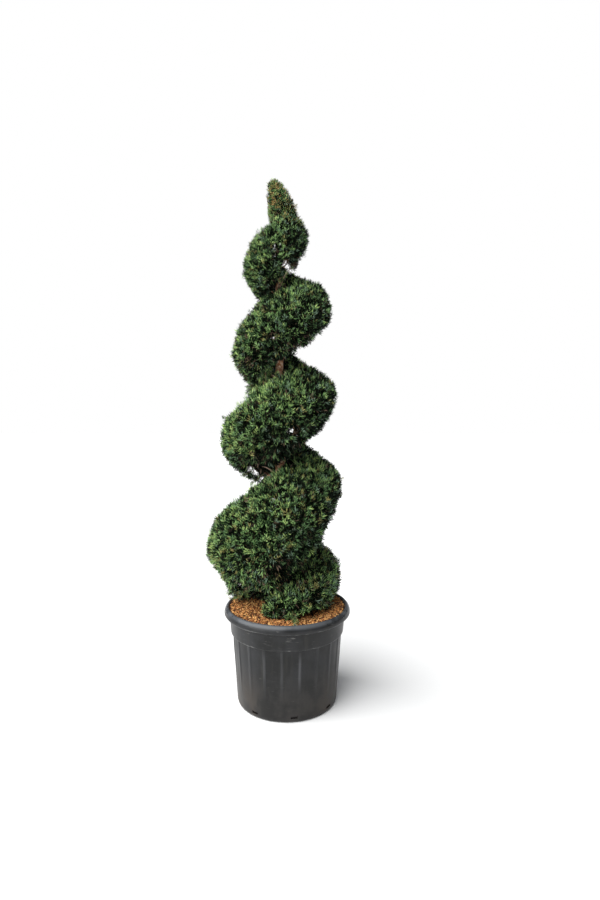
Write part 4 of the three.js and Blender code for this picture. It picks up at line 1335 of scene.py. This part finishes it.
# Twigs
TWIG_SHADES = {
    "twig_bark": (0.110, 0.060, 0.036),
    "twig_brown": (0.230, 0.145, 0.085),
    "twig_green": (0.070, 0.100, 0.032),
    "twig_pale": (0.560, 0.400, 0.300),
}
BARK, BROWN, GREEN, PALE = range(len(TWIG_SHADES))
SPINE_END = 0.003
BRANCH_RADII = np.linspace(0.0038, 0.0016, 6)
BRANCHLET_RADII = np.linspace(0.0025, 0.0010, 5)
TWIG_RADII = (0.0011, 0.0008, 0.0)
TWIG_SHARE = 0.95
PALE_TWIG_RADII = (0.0042, 0.0038, 0.0034, 0.0028, 0.0016)
BRANCH_BOW = 0.08
BRANCHLET_BOW = 0.10
NO_LIMBS = np.zeros((0, len(BRANCHLET_RADII), 3))
TRUNK_BEARS = trunk_axis(np.linspace(SOIL_TOP + 0.05, TRUNK_TOP - 0.05, 120))


def bearing_points(limbs, foot=2):
    """The points of limbs that others may leave, all but those near their feet."""
    return limbs[:, foot:].reshape(-1, 3)


def branch_out(targets, bearers, steps, rng, bow):
    """Limbs that leave the nearest of the bearing points for each target, bowed a little."""
    starts = bearers[nearest(bearers, targets)]
    reach = np.linalg.norm(targets - starts, axis=1, keepdims=True)
    return curved(starts, targets, steps, rng.normal(0, bow, targets.shape) * reach)


def seeded(seed):
    """The solids' own random numbers."""
    state = seed
    while True:
        state = (state + 0x6D2B79F5) & 0xFFFFFFFF
        mixed = ((state ^ (state >> 15)) * (state | 1)) & 0xFFFFFFFF
        mixed ^= (mixed + ((mixed ^ (mixed >> 7)) * (mixed | 61))) & 0xFFFFFFFF
        yield ((mixed ^ (mixed >> 14)) & 0xFFFFFFFF) / 4294967296


def lead_ends(first, last, random):
    """Where the solids' own twigs stand out of a mass, by the same rule, and so the branches here."""
    middle = (first + last) / 2
    scale = spray_scale(middle)
    spacing = LEAD_SPACING * math.sqrt(scale)
    radius = outline_radius(middle, band_middle(middle)) - FUR_OUT * scale
    deep = radius - trunk_reach(band_middle(middle)) - TRUNK_ROOM
    half = band_half(middle) - FUR_UP * scale
    columns = max(2, round((last - first) * TURN * radius * LEAD_ALONG / spacing))
    rows = max(3, round((2 * half + LEAD_OVER * deep) / spacing))
    places = []
    for column in range(columns):
        for row in range(rows):
            along, over = (0.5 + LEAD_SHIFT * (next(random) - 0.5) for _ in range(2))
            places.append((first + (last - first) * (column + along) / columns, (row + over) / rows))
    ends = skin(*np.array(places).T, LEAD_DEPTH)
    return ends[in_reach(ends, LIMB_ROOM)]


def mass_spine(first, last):
    """The two halves of the limb that runs along inside a mass, from where its bough enters it."""
    _, tip, along, radius = bough_line(first, last)
    middle, width = (first + last) / 2, last - first
    halves = []
    for end in (-1, 1):
        turn = middle + end * width * SPINE_SPAN
        z = np.maximum(band_middle(turn) - SPINE_LOW * band_half(turn), SOIL_TOP + SPINE_OVER_SOIL)
        out = lerp(trunk_reach(z) + TRUNK_ROOM, outline_radius(turn, z), SPINE_REACH)
        halves.append(np.concatenate([[tip, tip + along * SPINE_ENTRY], around_trunk(turn, out, z)]))
    return np.stack(halves), radius * BOUGH_TAPER


def wisps_of(mass):
    """The starts and ends of the loose shoots that belong to a mass, the nearest one."""
    middles = np.array([(first + last) / 2 for first, last in sectors()])
    z = band_middle(middles)
    ends = np.array(WISPS)
    owners = nearest(around_trunk(middles, 0.5 * outline_radius(middles, z), z), ends[:, 0])
    return ends[owners == mass]


def wisp_coat(ends, rng):
    """Sprays up the outer part of each loose shoot: their roots, directions, scales and kinds."""
    mine = np.repeat(np.arange(len(ends)), WISP_SPRAYS)
    start, end = ends[mine, 0], ends[mine, 1]
    directions = unit(unit(end - start) + rng.normal(0, WISP_WANDER, start.shape))
    roots = lerp(start, end, rng.uniform(*WISP_SPAN, (len(mine), 1)))
    kinds = rng.choice([KINDS[name] for name in WISP_KINDS], len(mine))
    return roots, directions, rng.uniform(*WISP_SIZES, len(mine)), kinds


def wisp_limbs(ends, spine):
    """The limbs that bear them, from the trunk or the mass's spine, whichever is nearer."""
    bearers = np.concatenate([TRUNK_BEARS, bearing_points(spine)])
    feet = bearers[nearest(bearers, ends[:, 0])]
    outer = [lerp(ends[:, 0], ends[:, 1], share) for share in (0.0, 0.33, 0.67, 1.0)]
    return np.stack([feet, *outer], 1)


def bare_twigs():
    """Pale twigs with no needles, each from inside the trunk or from another."""
    lines = np.array(BARE_TWIGS)
    bearers = np.concatenate([TRUNK_BEARS, bearing_points(lines, 1)])
    feet = bearers[nearest(bearers, lines[:, 0])]
    points, faces = tubes(np.concatenate([feet[:, None], lines], 1), PALE_TWIG_RADII, 5)
    return points, faces, np.full(len(faces), PALE)


def inner_hearts(first, last, rng):
    """Places close round the trunk inside a mass, where old shoots fill the hollow."""
    turn = rng.uniform(first, last, INNER_SHOOTS)
    z = band_middle(turn) + INNER_RISE * band_half(turn) * rng.uniform(-1, 1, INNER_SHOOTS)
    places = around_trunk(turn, trunk_reach(z) + rng.uniform(*INNER_REACH, INNER_SHOOTS), z)
    return places[in_reach(places, LIMB_ROOM)]


def grow_twigs(spine, radius, leads, hearts, coat, rng, loose=NO_LIMBS, bow=1.0):
    """The limbs inside a mass: its spine, branches, branchlets, and a twig along every spray."""
    branches = branch_out(leads, bearing_points(spine), len(BRANCH_RADII), rng, BRANCH_BOW * bow)
    bearers = np.concatenate([bearing_points(branches), bearing_points(spine)])
    branchlets = branch_out(hearts, bearers, len(BRANCHLET_RADII), rng, BRANCHLET_BOW * bow)
    limbs = np.concatenate([branchlets, loose])
    roots, directions, scales, _ = coat
    bearers = bearing_points(limbs, 1)
    tips = roots + directions * (SPRAY_LENGTH * TWIG_SHARE * scales)[:, None]
    twigs = np.stack([bearers[nearest(bearers, roots)], roots, tips], 1)
    spine_radii = np.linspace(radius, SPINE_END, spine.shape[1])
    kinds = (
        (spine, spine_radii, 6, BARK),
        (branches, BRANCH_RADII, 4, BARK),
        (limbs, BRANCHLET_RADII, 3, BROWN),
        (twigs, TWIG_RADII, 3, BROWN),
    )
    parts = []
    for paths, radii, sides, shade in kinds:
        points, faces = tubes(paths, radii, sides)
        parts.append((points, faces, np.full(len(faces), shade)))
    # The last three faces of each spray's twig are its young, green end
    parts[-1][2].reshape(len(twigs), -1)[:, -3:] = GREEN
    return joined(parts), branchlets


def old_shoots(branchlets, rng, size):
    """Older shoots along the branchlets, with long needles in near-black painted shade or dry brown."""
    count = len(branchlets) * OLD_SHOOTS
    mine = np.repeat(np.arange(len(branchlets)), OLD_SHOOTS)
    share = rng.uniform(*OLD_SPAN, count) * (branchlets.shape[1] - 1)
    step = share.astype(int)
    start, end = branchlets[mine, step], branchlets[mine, step + 1]
    roots = lerp(start, end, (share - step)[:, None])
    directions = unit(unit(end - start) + rng.normal(0, OLD_WANDER, roots.shape))
    tips = roots + directions * OLD_SHOOT_LENGTH * size
    kept = in_reach(roots, OLD_ROOM) & in_reach(tips, OLD_ROOM) & clear_of_sky(roots, tips)
    kinds = np.where(rng.uniform(0, 1, count) < OLD_SHADED, KINDS["painted_shade"], KINDS["dry"])
    scales = size * rng.uniform(*OLD_SIZES, count)
    return grown(OLD_PATTERNS, roots[kept], directions[kept], scales[kept], kinds[kept], rng)


def make_needles(node, coat, branchlets, old_size, rng, materials):
    """The needles of a mass: its coat of sprays and the old shoots inside it."""
    points, faces, shades = joined([grown(PATTERNS, *coat, rng), old_shoots(branchlets, rng, old_size)])
    make_piece(f"{node}_needles", points, faces, materials, [node], shades=shades)


def make_foliage(materials):
    """Each mass: a coat of sprays, the twigs that bear them, and the old shoots inside."""
    twigs = []
    for i, (first, last) in enumerate(sectors()):
        final = i + 1 == MASSES
        rng = np.random.default_rng(SEED + 1000 + i)
        ends = (first if i else BAND_START, BAND_END if final else last)
        finer = smooth_step((first + last) / 2, *FINER_FROM)
        coat, hearts = cover(skin, skin_normal, rng, *ends, lerp(1.0, FINER_SIZE, finer))
        hearts = np.concatenate([hearts, inner_hearts(first, last, rng)])
        spine, radius = mass_spine(first, last)
        wisps = wisps_of(i)
        if len(wisps):
            coat = [np.concatenate(pair) for pair in zip(coat, wisp_coat(wisps, rng))]
        leads = lead_ends(first, last, seeded(SEED + i))
        loose = wisp_limbs(wisps, spine) if len(wisps) else NO_LIMBS
        wood, branchlets = grow_twigs(spine, radius, leads, hearts, coat, rng, loose)
        twigs.append(wood)
        old_size = TIP_OLD_SCALE if final else lerp(1.0, FINER_OLD_SIZE, finer)
        make_needles(f"foliage_{i + 1:02d}", coat, branchlets, old_size, rng, materials)
    points, faces, shades = joined([*twigs, make_tip(materials), bare_twigs()])
    woods = shade_materials(TWIG_SHADES, roughness=0.85, specular=0.3)
    make_piece("twigs", points, faces, woods, shades=shades)


def tip_skin(turn, over):
    z = lerp(TIP_FOOT - TIP_SKIRT, TIP_TOP, np.sin(np.asarray(over) * np.pi / 2))
    rise = tip_rise(z)
    sideways = np.cos(TURN * np.asarray(turn))
    uneven = np.where(sideways > 0, TIP_FULLER, TIP_SLIMMER) * sideways * (1 - rise) ** TIP_UNEVEN_FADE
    blunt = bell((rise - TIP_BLUNT_AT) / TIP_BLUNT_SPREAD)
    uneven = uneven + TIP_BLUNT * np.maximum(-sideways, 0) * blunt
    return around_trunk(turn, tip_radius(z) * (1 + uneven), z)


def tip_normal(turn, over):
    return normals_of(tip_skin, turn, np.minimum(over, TIP_LEVEL), lowest=-1.0)


def make_tip(materials):
    """The pointed top mass, round a leader that runs on from the trunk. Returns its twigs."""
    rng = np.random.default_rng(SEED + 2000)
    coat, hearts = cover(tip_skin, tip_normal, rng, 0, 1, TIP_SCALE)
    leader = trunk_axis(np.linspace(TRUNK_TOP - LEADER_SUNK, LEADER_TOP, 8))[None]
    radius = TRUNK_TOP_RADIUS * LEADER_TAPER
    turns = rng.uniform(0, 1, TIP_LEADS)
    leads = around_trunk(turns, TIP_LEADS_OUT, rng.uniform(*TIP_LEADS_SPAN, TIP_LEADS))
    wood, branchlets = grow_twigs(leader, radius, leads, hearts, coat, rng, bow=TIP_BOW)
    make_needles("foliage_tip", coat, branchlets, TIP_OLD_SCALE, rng, materials)
    return wood


# Floor, light and camera
FLOOR_HALF = 30.0
FLOOR_BELOW = 0.0005
SOFT_LIGHT = 0.27
SOFT_COLOUR = (0.93, 0.96, 1.0)
KEY_LIGHT = 6.2
KEY_ANGLE = math.radians(80)
KEY_TURNED = (math.radians(45), 0, math.radians(-54))
SENSOR = 36.0
LENS = 22.08
LENS_SHIFT = -0.1
CAMERA_TURNED = (math.radians(90 + 5.25), 0, 0)


def make_floor():
    corners = [(x * FLOOR_HALF, y * FLOOR_HALF, 0) for x, y in ((-1, -1), (1, -1), (1, 1), (-1, 1))]
    mesh = bpy.data.meshes.new("floor")
    mesh.from_pydata(corners, [], [(0, 1, 2, 3)])
    mesh.materials.append(plain_material("floor_paint", (0.86, 0.86, 0.855), 0.9, 0.1))
    floor = bpy.data.objects.new("floor", mesh)
    floor.location.z = -FLOOR_BELOW
    bpy.context.scene.collection.objects.link(floor)


def make_soft_light():
    """Soft light from all round, and plain white where it shows behind the plant."""
    world = bpy.data.worlds.new("studio")
    world.use_nodes = True
    tree = world.node_tree
    soft = tree.nodes["Background"]
    soft.inputs["Color"].default_value = (*SOFT_COLOUR, 1)
    soft.inputs["Strength"].default_value = SOFT_LIGHT
    paper = tree.nodes.new("ShaderNodeBackground")
    paper.inputs["Color"].default_value = (1.0, 1.0, 1.0, 1)
    chosen = tree.nodes.new("ShaderNodeMixShader")
    seen = tree.nodes.new("ShaderNodeLightPath")
    tree.links.new(seen.outputs["Is Camera Ray"], chosen.inputs["Fac"])
    tree.links.new(soft.outputs["Background"], chosen.inputs[1])
    tree.links.new(paper.outputs["Background"], chosen.inputs[2])
    tree.links.new(chosen.outputs["Shader"], tree.nodes["World Output"].inputs["Surface"])
    bpy.context.scene.world = world


def make_key_light():
    key = bpy.data.lights.new("key", "SUN")
    key.energy = KEY_LIGHT
    key.angle = KEY_ANGLE
    lamp = bpy.data.objects.new("key", key)
    lamp.rotation_euler = KEY_TURNED
    bpy.context.scene.collection.objects.link(lamp)


def make_camera():
    data = bpy.data.cameras.new("camera")
    data.sensor_width = SENSOR
    data.lens = LENS
    data.shift_y = LENS_SHIFT
    camera = bpy.data.objects.new("camera", data)
    camera.location = CAMERA_AT
    camera.rotation_euler = CAMERA_TURNED
    bpy.context.scene.collection.objects.link(camera)
    bpy.context.scene.camera = camera


needles = shade_materials(NEEDLE_SHADES, roughness=0.38, specular=0.28)
# The two painted-shade colours hardly shine, so that they stay as dark as shade
for needle in needles[:2]:
    needle.node_tree.nodes["Principled BSDF"].inputs["Specular IOR Level"].default_value = 0.08
bark = bark_material()
make_camera()
make_floor()
make_soft_light()
make_key_light()
make_pot()
make_soil()
make_chips()
make_trunk(bark)
make_boughs(bark)
make_foliage(needles)
bpy.context.scene.view_settings.view_transform = "Standard"
